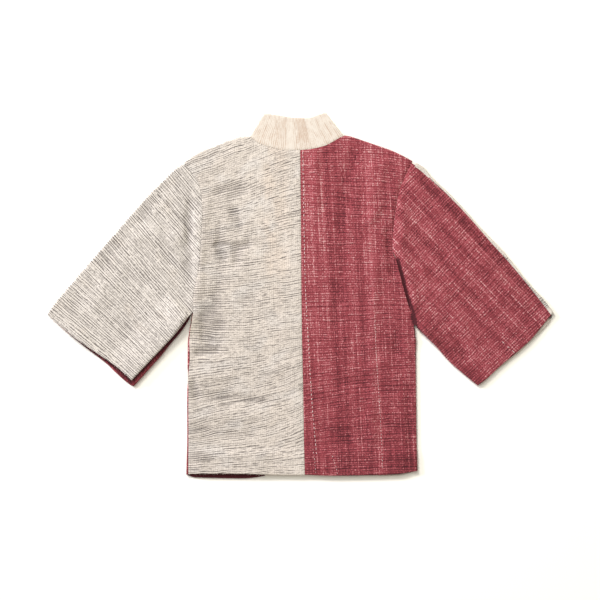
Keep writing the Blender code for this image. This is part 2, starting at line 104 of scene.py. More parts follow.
# %% Seam and edge lines, rows of x, y
CENTRE_BACK = ((0.5, 336.9), (2.1, 186), (3, 37), (4.8, -101), (6.9, -193), (9.2, -331), (11, -409))
NECK_LEFT = ((-113.8, 365.7), (-90.8, 350.8), (-67.8, 343.8), (-44.8, 337.5), (-21.8, 336.3), (0.5, 336.9))
NECK_RIGHT = ((0.5, 336.9), (28.7, 339.9), (58.6, 347.3), (81.6, 359.5), (97.7, 368.5))
COLLAR_TOP = ((-83, 421.4), (-64, 419), (-45, 416.4), (-22, 412.4), (-3, 410.8), (19.5, 411.2), (31, 414.2),
              (42.5, 418.4), (58.4, 423.2))
SHOULDER_LEFT = ((-268, 307.2), (-253, 318.6), (-230.3, 332), (-207.3, 341.8), (-184.2, 351),
                 (-160.8, 359.8), (-137.4, 366.6), (-116.8, 370))
SHOULDER_RIGHT = ((100.8, 370.4), (116.6, 368.2), (139.8, 360.5), (162.8, 352.6), (185.8, 344.7),
                  (208.9, 336.5), (231.9, 326), (258.8, 311.6))
ARMHOLE_LEFT = ((-267.9, 305.9), (-247.2, 280.6), (-231.1, 253), (-224.2, 193), (-227.7, 133),
                (-231.1, 80.5), (-235.7, 51.5), (-245.4, 4.6), (-246.4, -38.4))
ARMHOLE_RIGHT = ((258.8, 310.5), (232.8, 257.6), (221.9, 212), (213.7, 147), (212.7, 103.5))
SLIT_RIGHT = ((212.7, 103.5), (220.8, 84), (231.5, 43.7), (243.5, -2.3), (256, -40), (263.3, -69))
SIDE_LEFT = ((-246.4, -38.4), (-248.8, -54), (-251.8, -72), (-254.2, -90), (-254.4, -110), (-253.6, -144),
             (-256.4, -172), (-257.6, -190), (-257, -214), (-256.8, -239), (-256.8, -377), (-256.8, -408.5))
SIDE_LEFT_OUT = ((-249.2, -38.4), (-251.6, -54), (-254.6, -72), (-257, -90), (-258.2, -110), (-258.8, -144),
                 (-259, -172), (-259, -190), (-259.5, -214), (-259.7, -239), (-259.6, -331), (-260.8, -377),
                 (-261.8, -408.5))
SIDE_RIGHT_OUT = ((263.3, -69), (266.8, -101), (266.4, -147), (267.2, -228), (268.4, -331), (270.2, -400))
HEM_LEFT = ((-256.8, -406.2), (-171.3, -405.2), (-110, -406.4), (-84, -407.6), (-40, -408.8), (11, -408.6))
HEM_RIGHT = ((11, -408), (70, -410.5), (139, -410), (219.6, -407.4), (249.5, -403.2), (270.2, -400))
FRONT_HEM_LEFT = ((-261.9, -408.5), (-248, -413.6), (-228.8, -415.2), (-136.8, -417), (-104, -415),
                  (-81, -411))
FRONT_HEM_RIGHT = ((79, -411), (139, -411), (219.6, -411), (247, -406.5), (264, -401))

SLEEVE_LEFT_TOP = ((-268.3, 305.4), (-288.6, 292), (-313.9, 267.4), (-343.8, 238.6), (-392.1, 184),
                   (-440.4, 128.6), (-488, 74), (-537, 17.6), (-560, -9.6), (-580.8, -39.1))
CUFF_LEFT = ((-580.8, -39.1), (-554.4, -63), (-521.6, -90), (-486.8, -114.8), (-445.2, -142),
             (-411, -167.4), (-386.3, -191.6))
SLEEVE_LEFT_LOW = ((-251.2, -39.5), (-286.3, -85.1), (-320.8, -121.9), (-354.8, -158), (-386.3, -191.6))
FRONT_CUFF_LEFT = ((-577, -40.5), (-555.4, -63), (-523.2, -91.5), (-488.7, -119.4), (-447.3, -150.6),
                   (-424.3, -172.5), (-401.3, -193.2), (-382.9, -207))
SLEEVE_LEFT_OUT = ((-250.8, -44), (-262, -64), (-276, -84), (-291, -101), (-305, -118), (-320, -137),
                   (-348.5, -169), (-382.9, -207))

SLEEVE_RIGHT_TOP = ((259.5, 310.2), (273, 305), (288.6, 293), (311.6, 266.8), (341.5, 239.2),
                    (380.6, 197.8), (417.4, 156.4), (470.3, 101.2), (514, 46), (562.3, -9.2), (583, -36.8))
SEAM_RIGHT_TOP = ((255.5, 304), (278.2, 288.2), (301.8, 266.8), (348.4, 223.6), (394.4, 175.8),
                  (440, 123.8), (487, 71.6), (533, 15.5), (553.6, -11), (577, -42))
CUFF_RIGHT = ((575.7, -43), (564.6, -56), (530.1, -97.7), (495.6, -128.8), (461.1, -157.5), (426.6, -189.7),
              (408.2, -204.2))
FRONT_CUFF_RIGHT = ((583, -36.8), (578, -50.6), (556.6, -76.6), (528.4, -104), (498.6, -131.6),
                    (464, -159.4), (417, -198))
SLEEVE_RIGHT_LOW = ((267.5, -70), (277.1, -80.5), (311.6, -113.8), (346.1, -151.8), (380.6, -181.7),
                    (408.2, -204.2))

# The collar band down each front. Each row is the seam's x, y, then the free edge's x, y.
BAND_LEFT = ((-116.4, 366.8, -83.4, 421.4), (-108, 330, -52, 381), (-99, 270, -29, 310),
             (-90, 195, -12, 222), (-84, 110, -4.5, 118), (-81, 0, -3.5, 0), (-80, -200, -3, -200),
             (-80, -411, -3, -411))
BAND_RIGHT = ((100.8, 369.3, 59.4, 423.2), (95, 330, 34, 380), (90, 270, 17, 310), (84, 195, 5, 222),
              (80, 110, -1, 118), (78, 0, -1, 0), (77.5, -200, -0.6, -200), (77.5, -411, -0.6, -411))
print(f"from cuff to cuff: {SLEEVE_RIGHT_TOP[-1][0] - CUFF_LEFT[0][0]:.0f} mm")

# %% [markdown]
# ## Creases
# Cloth that was worn and folded never lies quite flat. The largest folds are in the solids, and
# the same ones are here, deeper, with finer creases between them. Each is a soft ridge or trough
# along a short line. They differ in length, width and depth, because even creases look machined.

# %% Folds and creases
# The main folds of the upper layer. Each row is a fold's two ends x, y, x, y, then its
# half width and its height, which is less than nothing for a hollow.
FOLDS = (
    # left back: the roll beside the armhole, hollows under the shoulder, then the rest
    (-222, 205, -240, -10, 14, 1.0), (-186, 240, -140, 252, 10, -1.0), (-160, 232, -126, 244, 8, -0.7),
    (-92, 288, -76, 292, 11, -0.5), (-152, 196, -144, 160, 12, -0.8), (-186, 166, -184, 132, 9, -0.6),
    (-190, 118, -124, 118, 6, -1.0), (-186, 110, -184, 88, 9, -0.8), (-147, 110, -149, 84, 10, -0.9),
    (-178, 84, -198, -30, 16, -0.7),
    # left back: the deep ones below the underarm, then the rest
    (-218, -56, -214, -92, 16, -1.9), (-188, -60, -182, -96, 12, -0.7), (-232, -130, -190, -126, 8, -1.2),
    (-206, -72, -176, -70, 9, -0.7), (-246, -198, -240, -228, 8, -0.9), (-124, -4, -108, 0, 12, -0.4),
    (-238, -225, -84, -241, 13, -0.65), (-238, -308, -118, -322, 13, -0.65),
    (-240, -366, -206, -370, 11, -0.8), (-170, -150, -60, -168, 14, 0.5), (-236, -184, -160, -180, 11, 0.8),
    (-200, -268, -80, -282, 14, 0.7), (-160, 62, -90, 40, 16, 0.7), (-150, 320, -60, 230, 18, 0.6),
    # fullness beside the centre seam, the drag line from the right shoulder, then long folds below
    (-16, 300, -12, -360, 14, 0.15), (121, 322, 91, 152, 12, -1.2), (168, 290, 166, 180, 12, 0.9),
    (36, 322, 36, 190, 11, 0.8), (190, 300, 176, 180, 10, 0.7), (91, 110, 88, -60, 14, -0.8),
    (168, 60, 166, -330, 12, 0.8),
    # right back: the hollow beside the armhole, then the rest
    (206, 140, 212, 60, 10, -1.3), (222, -92, 224, -124, 12, -1.1), (198, -150, 150, -170, 10, 0.7),
    (16, -214, 70, -246, 14, -0.8), (104, -196, 216, -214, 12, -0.8), (60, -300, 110, -330, 12, -0.9),
    (180, -286, 226, -300, 12, -0.8), (253, -210, 254, -386, 10, -1.0), (110, -360, 190, -366, 11, 0.7),
    # left sleeve: hollows beside the armhole, then the rest
    (-254, 212, -258, 126, 12, -1.35), (-259, 86, -249, 40, 12, -0.8), (-308, 98, -300, 82, 14, -0.45),
    (-454, 80, -321, 237, 18, -0.6), (-380, 48, -358, 38, 15, -0.4), (-400, 150, -300, 130, 24, 0.9),
    (-350, -50, -300, -118, 22, 1.0), (-548, -30, -520, -18, 18, -0.5), (-470, -20, -440, 20, 18, 0.6),
    (-420, -60, -380, -90, 16, -0.35),
    # right sleeve: the folds along it, then the rest
    (291, 260, 566, -22, 8, -1.1), (264, 240, 536, -36, 9, 0.9), (234, 205, 238, 84, 10, 0.75),
    (246, 76, 272, -50, 9, 0.7), (262, 190, 330, 96, 12, -0.5), (300, 120, 460, -60, 12, -0.35),
    (320, 150, 490, -10, 10, 0.6), (280, 60, 400, -90, 12, 0.7), (284, -82, 308, -108, 12, 2.0),
    (340, -60, 380, -130, 13, -0.8),
)

# Finer creases, in the same columns
CREASES = (
    # left back, from the shoulder down
    (-150, 330, -196, 300, 9, 0.5), (-120, 322, -150, 268, 10, -0.5), (-90, 300, -60, 240, 12, 0.5),
    (-110, 190, -60, 176, 9, -0.5), (-196, 206, -150, 196, 8, -0.6), (-150, 118, -92, 124, 9, -0.5),
    (-215, 130, -160, 118, 8, 0.5), (-205, 20, -150, 34, 8, 0.6), (-222, -40, -170, -44, 7, -0.7),
    (-160, -70, -90, -84, 11, 0.5), (-226, -160, -150, -166, 8, 0.5), (-110, -150, -40, -120, 10, -0.5),
    (-90, -232, -26, -206, 10, 0.5), (-236, -262, -160, -250, 9, -0.6), (-130, -270, -60, -262, 8, 0.5),
    (-228, -318, -150, -330, 9, 0.5), (-60, -300, -20, -280, 8, -0.5), (-30, 200, -22, 60, 8, 0.4),
    (-40, -30, -22, -200, 9, 0.4),
    # right back, from the shoulder down
    (60, 300, 110, 262, 10, -0.5), (176, 300, 196, 240, 8, 0.6), (120, 210, 170, 190, 9, -0.5),
    (60, 190, 40, 110, 10, 0.5), (140, 90, 196, 70, 9, 0.5), (60, 20, 130, 34, 9, -0.4),
    (130, -20, 200, -10, 9, 0.5), (60, -100, 140, -84, 10, 0.5), (160, -96, 236, -70, 8, -0.6),
    (50, -180, 120, -160, 9, 0.4), (130, -262, 230, -254, 9, -0.4), (60, -300, 150, -286, 9, 0.5),
    (180, -318, 250, -330, 9, 0.4),
    # left sleeve
    (-300, 230, -340, 190, 9, 0.6), (-350, 200, -300, 150, 9, -0.6), (-330, 110, -270, 60, 10, -0.5),
    (-400, 90, -350, 40, 9, 0.5), (-430, 40, -370, -20, 10, -0.5), (-500, 0, -450, -50, 9, 0.5),
    (-380, -30, -330, -80, 8, -0.5), (-470, -60, -420, -110, 9, -0.4), (-290, -10, -262, -50, 8, 0.6),
    # right sleeve
    (290, 200, 340, 250, 9, -0.4), (300, 150, 350, 190, 9, 0.5), (330, 90, 400, 150, 9, -0.4),
    (360, 30, 430, 90, 10, 0.5), (290, 60, 330, 20, 8, -0.6), (420, -40, 500, 30, 9, 0.4),
    (320, -30, 380, 10, 8, -0.5), (400, -110, 450, -60, 9, 0.4),
)
print(len(FOLDS), "folds and", len(CREASES), "finer creases")

# %% Reading the folds
def smooth(x):
    """A soft step from 0 to 1."""
    x = np.clip(x, 0, 1)
    return x * x * (3 - 2 * x)


def beside(x, y, a, b):
    """How far each place lies along and to the left of the line from a to b, and its length."""
    way = np.array(b, float) - a
    long = np.hypot(*way)
    way /= long
    return (x - a[0]) * way[0] + (y - a[1]) * way[1], (y - a[1]) * way[0] - (x - a[0]) * way[1], long


def troughs(table, x, y):
    """Height of a table's folds at each place."""
    lift = np.zeros_like(x)
    for x0, y0, x1, y1, half, high in table:
        run, off, long = beside(x, y, (x0, y0), (x1, y1))
        past = np.maximum(0, np.maximum(-run, run - long))
        lift += high * np.exp(-(off / half) ** 2 - (past / (1.3 * half)) ** 2)
    return lift


def swells(x, y, wide, seed):
    """Soft uneven waves about so many millimetres wide, from -1 to 1."""
    chart = np.random.default_rng(seed).uniform(-1, 1, (64, 64))
    across, up = x / wide + 32, y / wide + 32
    i, j = np.floor(across).astype(int) % 63, np.floor(up).astype(int) % 63
    s, t = smooth(across % 1), smooth(up % 1)
    low = chart[i, j] * (1 - s) + chart[i + 1, j] * s
    return low * (1 - t) + (chart[i, j + 1] * (1 - s) + chart[i + 1, j + 1] * s) * t


deepest = troughs(FOLDS, *np.array(((-216.0,), (-74.0,))))[0]
print(f"the deepest hollow is {-deepest:.1f} mm deep on the solids")

# %% [markdown]
# ## Lines into surfaces
# A line needs only the points that its shape needs. A smooth curve is drawn through them and cut
# into even steps, and a panel is then filled in between its four edge lines.

# %% Lines and surfaces
CURVE_PIECES = 24        # straight pieces that a curve is drawn with between two rows


def strides(points):
    """The length of each step from point to point."""
    return np.linalg.norm(np.diff(points, axis=0), axis=1)


def unit(ways):
    """The same directions, each of length 1."""
    return ways / np.maximum(np.linalg.norm(ways, axis=1), 1e-9)[:, None]


def trace(rows, steps):
    """Points at a share of the way, or at so many even steps, along a smooth line through the rows."""
    rows = np.array(rows, float)
    ends = np.vstack([2 * rows[0] - rows[1], rows, 2 * rows[-1] - rows[-2]])
    fine = []
    for k in range(len(rows) - 1):
        a, b, c, d = ends[k:k + 4]
        for s in np.linspace(0, 1, CURVE_PIECES, endpoint=False):
            fine.append(0.5 * (2 * b + (c - a) * s + (2 * a - 5 * b + 4 * c - d) * s ** 2
                               + (3 * b - a - 3 * c + d) * s ** 3))
    fine = np.array(fine + [rows[-1]])
    run = np.r_[0, np.cumsum(strides(fine[:, :2]))]
    share = np.linspace(0, 1, steps + 1) if isinstance(steps, int) else np.array(steps)
    return np.column_stack([np.interp(share * run[-1], run, fine[:, k]) for k in range(rows.shape[1])])


def to_hem(rows, count):
    """The line in so many even steps, and then in short ones across the hem at its far end."""
    start = 1 - HEM / strides(np.array(rows)[:, :2]).sum()
    return trace(rows, np.r_[np.linspace(0, start, count + 1), np.linspace(start, 1, HEM_STEPS + 1)[1:]])


def join(*lines):
    """One line from several that meet end to end."""
    return np.vstack([lines[0]] + [line[1:] for line in lines[1:]])


def across(line):
    """The direction to the left of a line at each of its points."""
    way = unit(np.gradient(np.array(line)[:, :2], axis=0))
    return np.column_stack([-way[:, 1], way[:, 0]])


def aside(line, amount):
    """The line moved to its left by the amount, or to its right if that is less than nothing."""
    return line[:, :2] + across(line) * np.reshape(amount, (-1, 1))


def between(rows, first, last):
    """A cuff's line, from the end of one long edge to the end of the other."""
    return trace((first[-1], *rows[1:-1], last[-1]), ARM)


def fill(top, bottom, left, right):
    """A grid of points between four edge lines, rows from top to bottom."""
    left, right = left.copy(), right.copy()
    left[0], left[-1], right[0], right[-1] = top[0], bottom[0], top[-1], bottom[-1]
    v = np.linspace(0, 1, len(left))[:, None, None]
    u = np.linspace(0, 1, len(top))[None, :, None]
    sheet = (1 - v) * top[None] + v * bottom[None] + (1 - u) * left[:, None] + u * right[:, None]
    return sheet - ((1 - u) * (1 - v) * top[0] + u * (1 - v) * top[-1]
                    + (1 - u) * v * bottom[0] + u * v * bottom[-1])


print(f"the centre back seam is {strides(trace(CENTRE_BACK, 50)).sum():.0f} mm long")

# %% [markdown]
# ## The height of the upper layer
# Seen from the side, the jacket is two layers of cloth with the collar band and the hems between
# them. The upper layer sags between what carries it, and it dips where two panels are sewn.

# %% Distances and dips
def far_from(line, x, y):
    """Distance of each place from the nearest point of a finely cut line."""
    places = np.column_stack([x.ravel(), y.ravel()])
    best = np.full(len(places), 1e9)
    for point in line:
        best = np.minimum(best, np.hypot(*(places - point[:2]).T))
    return best.reshape(x.shape)


def bell(distance, wide):
    """1 at no distance, falling away to almost nothing at twice the width."""
    return np.exp(-(distance / wide) ** 2)


def away(distance, reach):
    """1 up to no distance, falling softly to 0 at the reach."""
    return 1 - smooth(distance / reach)


SEAM_DIPS = (   # each sewn line, then how wide and how deep the cloth dips along it
    (trace(ARMHOLE_LEFT, 160), 5.0, 0.5),
    (trace(ARMHOLE_RIGHT, 120), 5.0, 1.8),
    (trace(CENTRE_BACK, 220), 3.5, 0.2),
    (trace(NECK_LEFT, 60), 4.0, 0.4),
    (trace(NECK_RIGHT, 60), 4.0, 0.4),
)
HEM_DIPS = (   # the same for each line of stitches along a hem's inner edge
    (trace(((-253, -381), (-150, -380.6), (-60, -382), (9, -383)), 90), 3.6, 0.7),
    (trace(((12, -386), (92, -395), (140, -388), (180, -383), (268, -378)), 90), 3.6, 0.6),
    (trace(((-553, -15), (-495, -66), (-420, -120), (-368, -166)), 90), 3.6, 0.35),
    (trace(((556, -20), (512, -74), (473, -110), (430, -146), (398, -176)), 90), 3.6, 0.5),
)


def dipped(z, x, y, dips):
    """The height z, less the dips along a table's lines."""
    for line, wide, deep in dips:
        z = z - deep * bell(far_from(line, x, y), wide)
    return z


print("lines that the cloth dips along:", len(SEAM_DIPS) + len(HEM_DIPS))

# %% Height of the upper layer
def lift(x, y):
    """How far the folds, the creases and small swells lift the cloth at each place."""
    stray_x, stray_y = x + 5 * swells(x, y, 30, 43), y + 5 * swells(x, y, 30, 45)
    main = DEEPER * troughs(FOLDS, stray_x, stray_y) * (1 + 0.4 * swells(x, y, 22, 41))
    return main + troughs(CREASES, x, y) + 0.35 * swells(x, y, 34, 5) + 0.22 * swells(x, y, 17, 9)


def least_high(x, y):
    """The lowest that the cloth can lie, which is more over the band and behind the neck."""
    wide = BAND_WIDE + 12 + 32 * smooth((y - 100) / 250)
    return LOWEST + (OVER_BAND - LOWEST) * away(np.abs(x + 1) - wide, 30)


LOWER_EDGE = -409        # the back's lower edge, as y
BODY_HALF = 275          # half the width within which the body lies
BODY_HIGH = 200          # how far up from its lower edge the body is taken to reach


def over_hems(z, x, y, cuff_off):
    """Brings the cloth to an even height over the hems, and lifts its lower edge off the floor."""
    body = np.where(np.abs(x) < BODY_HALF, y - LOWER_EDGE, 999.0)
    edge = np.where(body < BODY_HIGH, body, cuff_off)
    off_floor = smooth((x + 262) / 40) * (1 - 0.4 * smooth((x + 110) / 60)) * smooth((266 - x) / 40)
    ripple = 0.35 * swells(x, y, 22, 13) + HEM_LIFT * off_floor * (body < BODY_HIGH)
    return z + (HEM_HIGH + ripple - z) * away(edge - HEM - 14, 24)


def pressed(z, x, y, cuff_off):
    """Presses the fold along the body's right side and the one along the right sleeve's top."""
    side = away(268 - x, 22) * smooth((-80 - y) / 40) * (x < 280)
    z = z + np.minimum(0, SIDE_HIGH - z) * side * smooth((y + 372) / 30)
    top = far_from(trace(SEAM_RIGHT_TOP, 90), x, y)
    sleeve = away(top - 3, 16)
    return z + np.minimum(0, SIDE_HIGH - z) * sleeve * smooth((x - 264) / 34) * smooth((cuff_off - 45) / 30)


ARMPIT, ARMPIT_WIDE = (288, -84), 26     # where the right sleeve's lower edge stands up
LOW_PEAK, LOW_PEAK_WIDE, LOW_PEAK_HIGH = 32, 34, 4.0   # the left one's highest stretch, from the armpit


def standing(z, x, y, cuff_run, cuff_off):
    """Lifts the edges that stand up: the left sleeve's lower one, its cuff and the right armpit."""
    run, off, _ = beside(x, y, SLEEVE_LEFT_LOW[0], SLEEVE_LEFT_LOW[-1])
    low = away(-off - 5, 78) * smooth((run + 6) / 18) * (x < -249) * (off < 12)
    edge_high = LOW_HIGH + LOW_PEAK_HIGH * bell(run - LOW_PEAK, LOW_PEAK_WIDE)
    z = z + np.maximum(0, edge_high - z) * low
    armpit = np.exp(-((x - ARMPIT[0]) ** 2 + (y - ARMPIT[1]) ** 2) / ARMPIT_WIDE ** 2) * (x > 262)
    z = z + ARMPIT_LIFT * armpit
    cuff = away(cuff_off - 1, 22) * smooth((cuff_run - 20) / 90) * (x < -300)
    return z + np.maximum(0, HEM_HIGH + CUFF_LIFT - z) * cuff


def upper(x, y):
    """Height of the upper layer's middle at each place."""
    least = least_high(x, y)
    z = REST + lift(x, y)
    z = least + ((z - least) + np.sqrt((z - least) ** 2 + 0.5)) / 2
    z = np.maximum(dipped(np.minimum(z, HIGHEST), x, y, SEAM_DIPS), LOWEST)
    left_run, left_off, _ = beside(x, y, CUFF_LEFT[0], CUFF_LEFT[-1])
    _, right_off, _ = beside(x, y, CUFF_RIGHT[-1], CUFF_RIGHT[0])
    z = over_hems(z, x, y, np.where(x < 0, left_off, right_off))
    z = pressed(dipped(z, x, y, HEM_DIPS), x, y, right_off)
    return standing(z, x, y, left_run, left_off)


heights = upper(*np.meshgrid(np.linspace(-250, 260, 60), np.linspace(-400, 300, 80)))
print(f"the upper layer's middle lies {heights.min():.1f} to {heights.max():.1f} mm up")

# %% Hollows, which the finishes paint as shade, and lines put at their height
# painted shade: along these lines the finishes paint the cloth nearly black
PAINTED_SHADE_LINES = (   # lines close under another layer's edge, each with its half width and its top
    (trace(SLIT_RIGHT[1:], 60), 8.0, 5.6),
    (aside(trace(SLIT_RIGHT[1:], 60), 5.5), 4.2, 40.0),
    (trace(((-264, -56), *SLEEVE_LEFT_LOW[1:]), 90), 11.0, 10.0),
    (trace(((-251, -41), (-264, -56)), 20), 9.0, 4.0),
    (trace(CUFF_LEFT[2:], 60), 12.0, 5.0),
    (trace(HEM_LEFT[:4], 60), 22.0, 5.0),
    (trace(((571, -36), (581, -50)), 8), 6.0, 6.0),
    (trace(((259, -44), (265, -68), (279, -89), (292, -102)), 30), 6.5, 40.0),
)


def hollow(points):
    """How far each place lies in a hollow, which the finishes paint as shade: to 1 in a fold, to 2 where
    hardly any light gets in and the colour is painted near black.
    """
    x, y, z = points.T
    deep = np.tanh(-lift(x, y) / 2.6) * (z > LOWEST - 0.5)
    for line, wide, top in PAINTED_SHADE_LINES:
        deep = np.maximum(deep, 2 * bell(far_from(line, x, y), wide) * smooth((top - z) / 1.2))
    return deep


def raised(points):
    """Puts flat points at the upper layer's height."""
    return np.dstack([points, upper(points[..., 0], points[..., 1])]).reshape(points.shape[:-1] + (3,))


def raised_line(line):
    """Puts a flat line at the upper layer's height."""
    return raised(line[None])[0]


def resting(points, level=UNDER):
    """Puts flat points on the surface that the jacket lies on."""
    return np.concatenate([points, np.full(points.shape[:-1] + (1,), level)], axis=-1)


FIRST_INSET = 3          # a first guess of how far inside the outline a roll starts


def rolled(line, side, level=None):
    """Where the roll of an edge starts: inside the outline by the roll's own size.
    The side is -1 if the piece lies to the right of the line and 1 if to the left."""
    start = aside(line, FIRST_INSET * side)
    for _ in range(3):
        top = upper(start[:, 0], start[:, 1]) if level is None else level
        start = aside(line, side * ((top - UNDER) / 2 + CLOTH / 2))
    return start


print("dark places under another layer's edge:", len(PAINTED_SHADE_LINES))

# %% [markdown]
# ## Which way the threads run
# A weave follows its cloth, so each panel carries a UV map that counts millimetres of cloth: U
# across the warp and V along it. Where a panel was pulled askew its wefts tilt, and a short table
# says by how much. The weave in the materials is then drawn on this map and bends with the cloth.

# %% Thread directions
# For each panel: a place on it, the warp's direction in degrees, half its width, how many degrees
# the warp leans, how far the wefts stray, and where its pattern starts. Then come rows of place
# along the warp and the weft's tilt in degrees at the left, middle and right.
THREADS = {
    "body_left": ((-125, 0), 90, 130, 1.0, 1.0, -140, (
        (-409, 3, 3, 3), (-380, 5, 5, 6), (-297, 12, 10, 21), (-182, 7, 8, 24), (-78, -4, 1, 15),
        (37, 3, 6, 12), (120, 9, 9, 11), (186, 14, 13, 12), (290, 22, 20, 16), (370, 22, 20, 16))),
    "body_right": ((137, 0), 90, 133, 2.7, 0.7, 900, (
        (-409, 2, 1, 3), (-330, 3, 5, -2), (-250, 9, 6, 0), (-160, 6, 6, 0), (-78, 2, 3, 0),
        (37, 0, 0, 0), (186, -1, -3, -6), (290, -1, 0, -12), (370, 0, 0, -14))),
    "sleeve_left": ((-484, -116), 47.8, 125, -1.0, 0.4, -700, (
        (0, 3, 3, 3), (90, 1, -1, -2), (200, -5, -6, -7), (330, -6, -7, -8), (470, -8, -9, -14))),
    "sleeve_right": ((492, -124), 133.1, 125, 1.0, 0.5, 1900, (
        (0, 1, 1, 1), (120, 1, 2, 2), (260, 3, 4, 3), (470, 4, 5, 2))),
}


def threads(panel, places):
    """Millimetres of cloth across and along the warp at each place."""
    places = np.array(places, float)
    if panel not in THREADS:
        return places
    (x0, y0), warp, half, lean, astray, start, table = THREADS[panel]
    turn = math.radians(warp - 90)
    x = (places[:, 0] - x0) * math.cos(turn) + (places[:, 1] - y0) * math.sin(turn)
    y = (places[:, 1] - y0) * math.cos(turn) - (places[:, 0] - x0) * math.sin(turn)
    rows = np.array(table, float)
    left, middle, right = (np.interp(y, rows[:, 0], np.tan(np.radians(rows[:, k]))) for k in (1, 2, 3))
    t = x / half
    climb = half * (middle * t + np.where(t > 0, right - middle, middle - left) * t * t / 2)
    drift = astray * (2.6 * swells(x, y, 60, 31) + 1.0 * swells(x, y, 24, 33))
    return np.column_stack([start + x + math.tan(math.radians(lean)) * y, y - climb + drift])


print("panels with their own thread directions:", len(THREADS))

# %% [markdown]
# ## A sheet of cloth
# Each panel starts as one layer of faces in the middle of the cloth. Its edges are rolled over or
# turned in as a hem, as the maker does, and then the layer gets its thickness. The rim of a cut
# edge is rounded, because cloth has no sharp corners and a rounded edge catches the light.

# %% Cloth walls
RIM = 0.35               # how round a cut edge is, as a share of half the thickness
SHARP = 40               # degrees between faces past which their edge is shown sharp


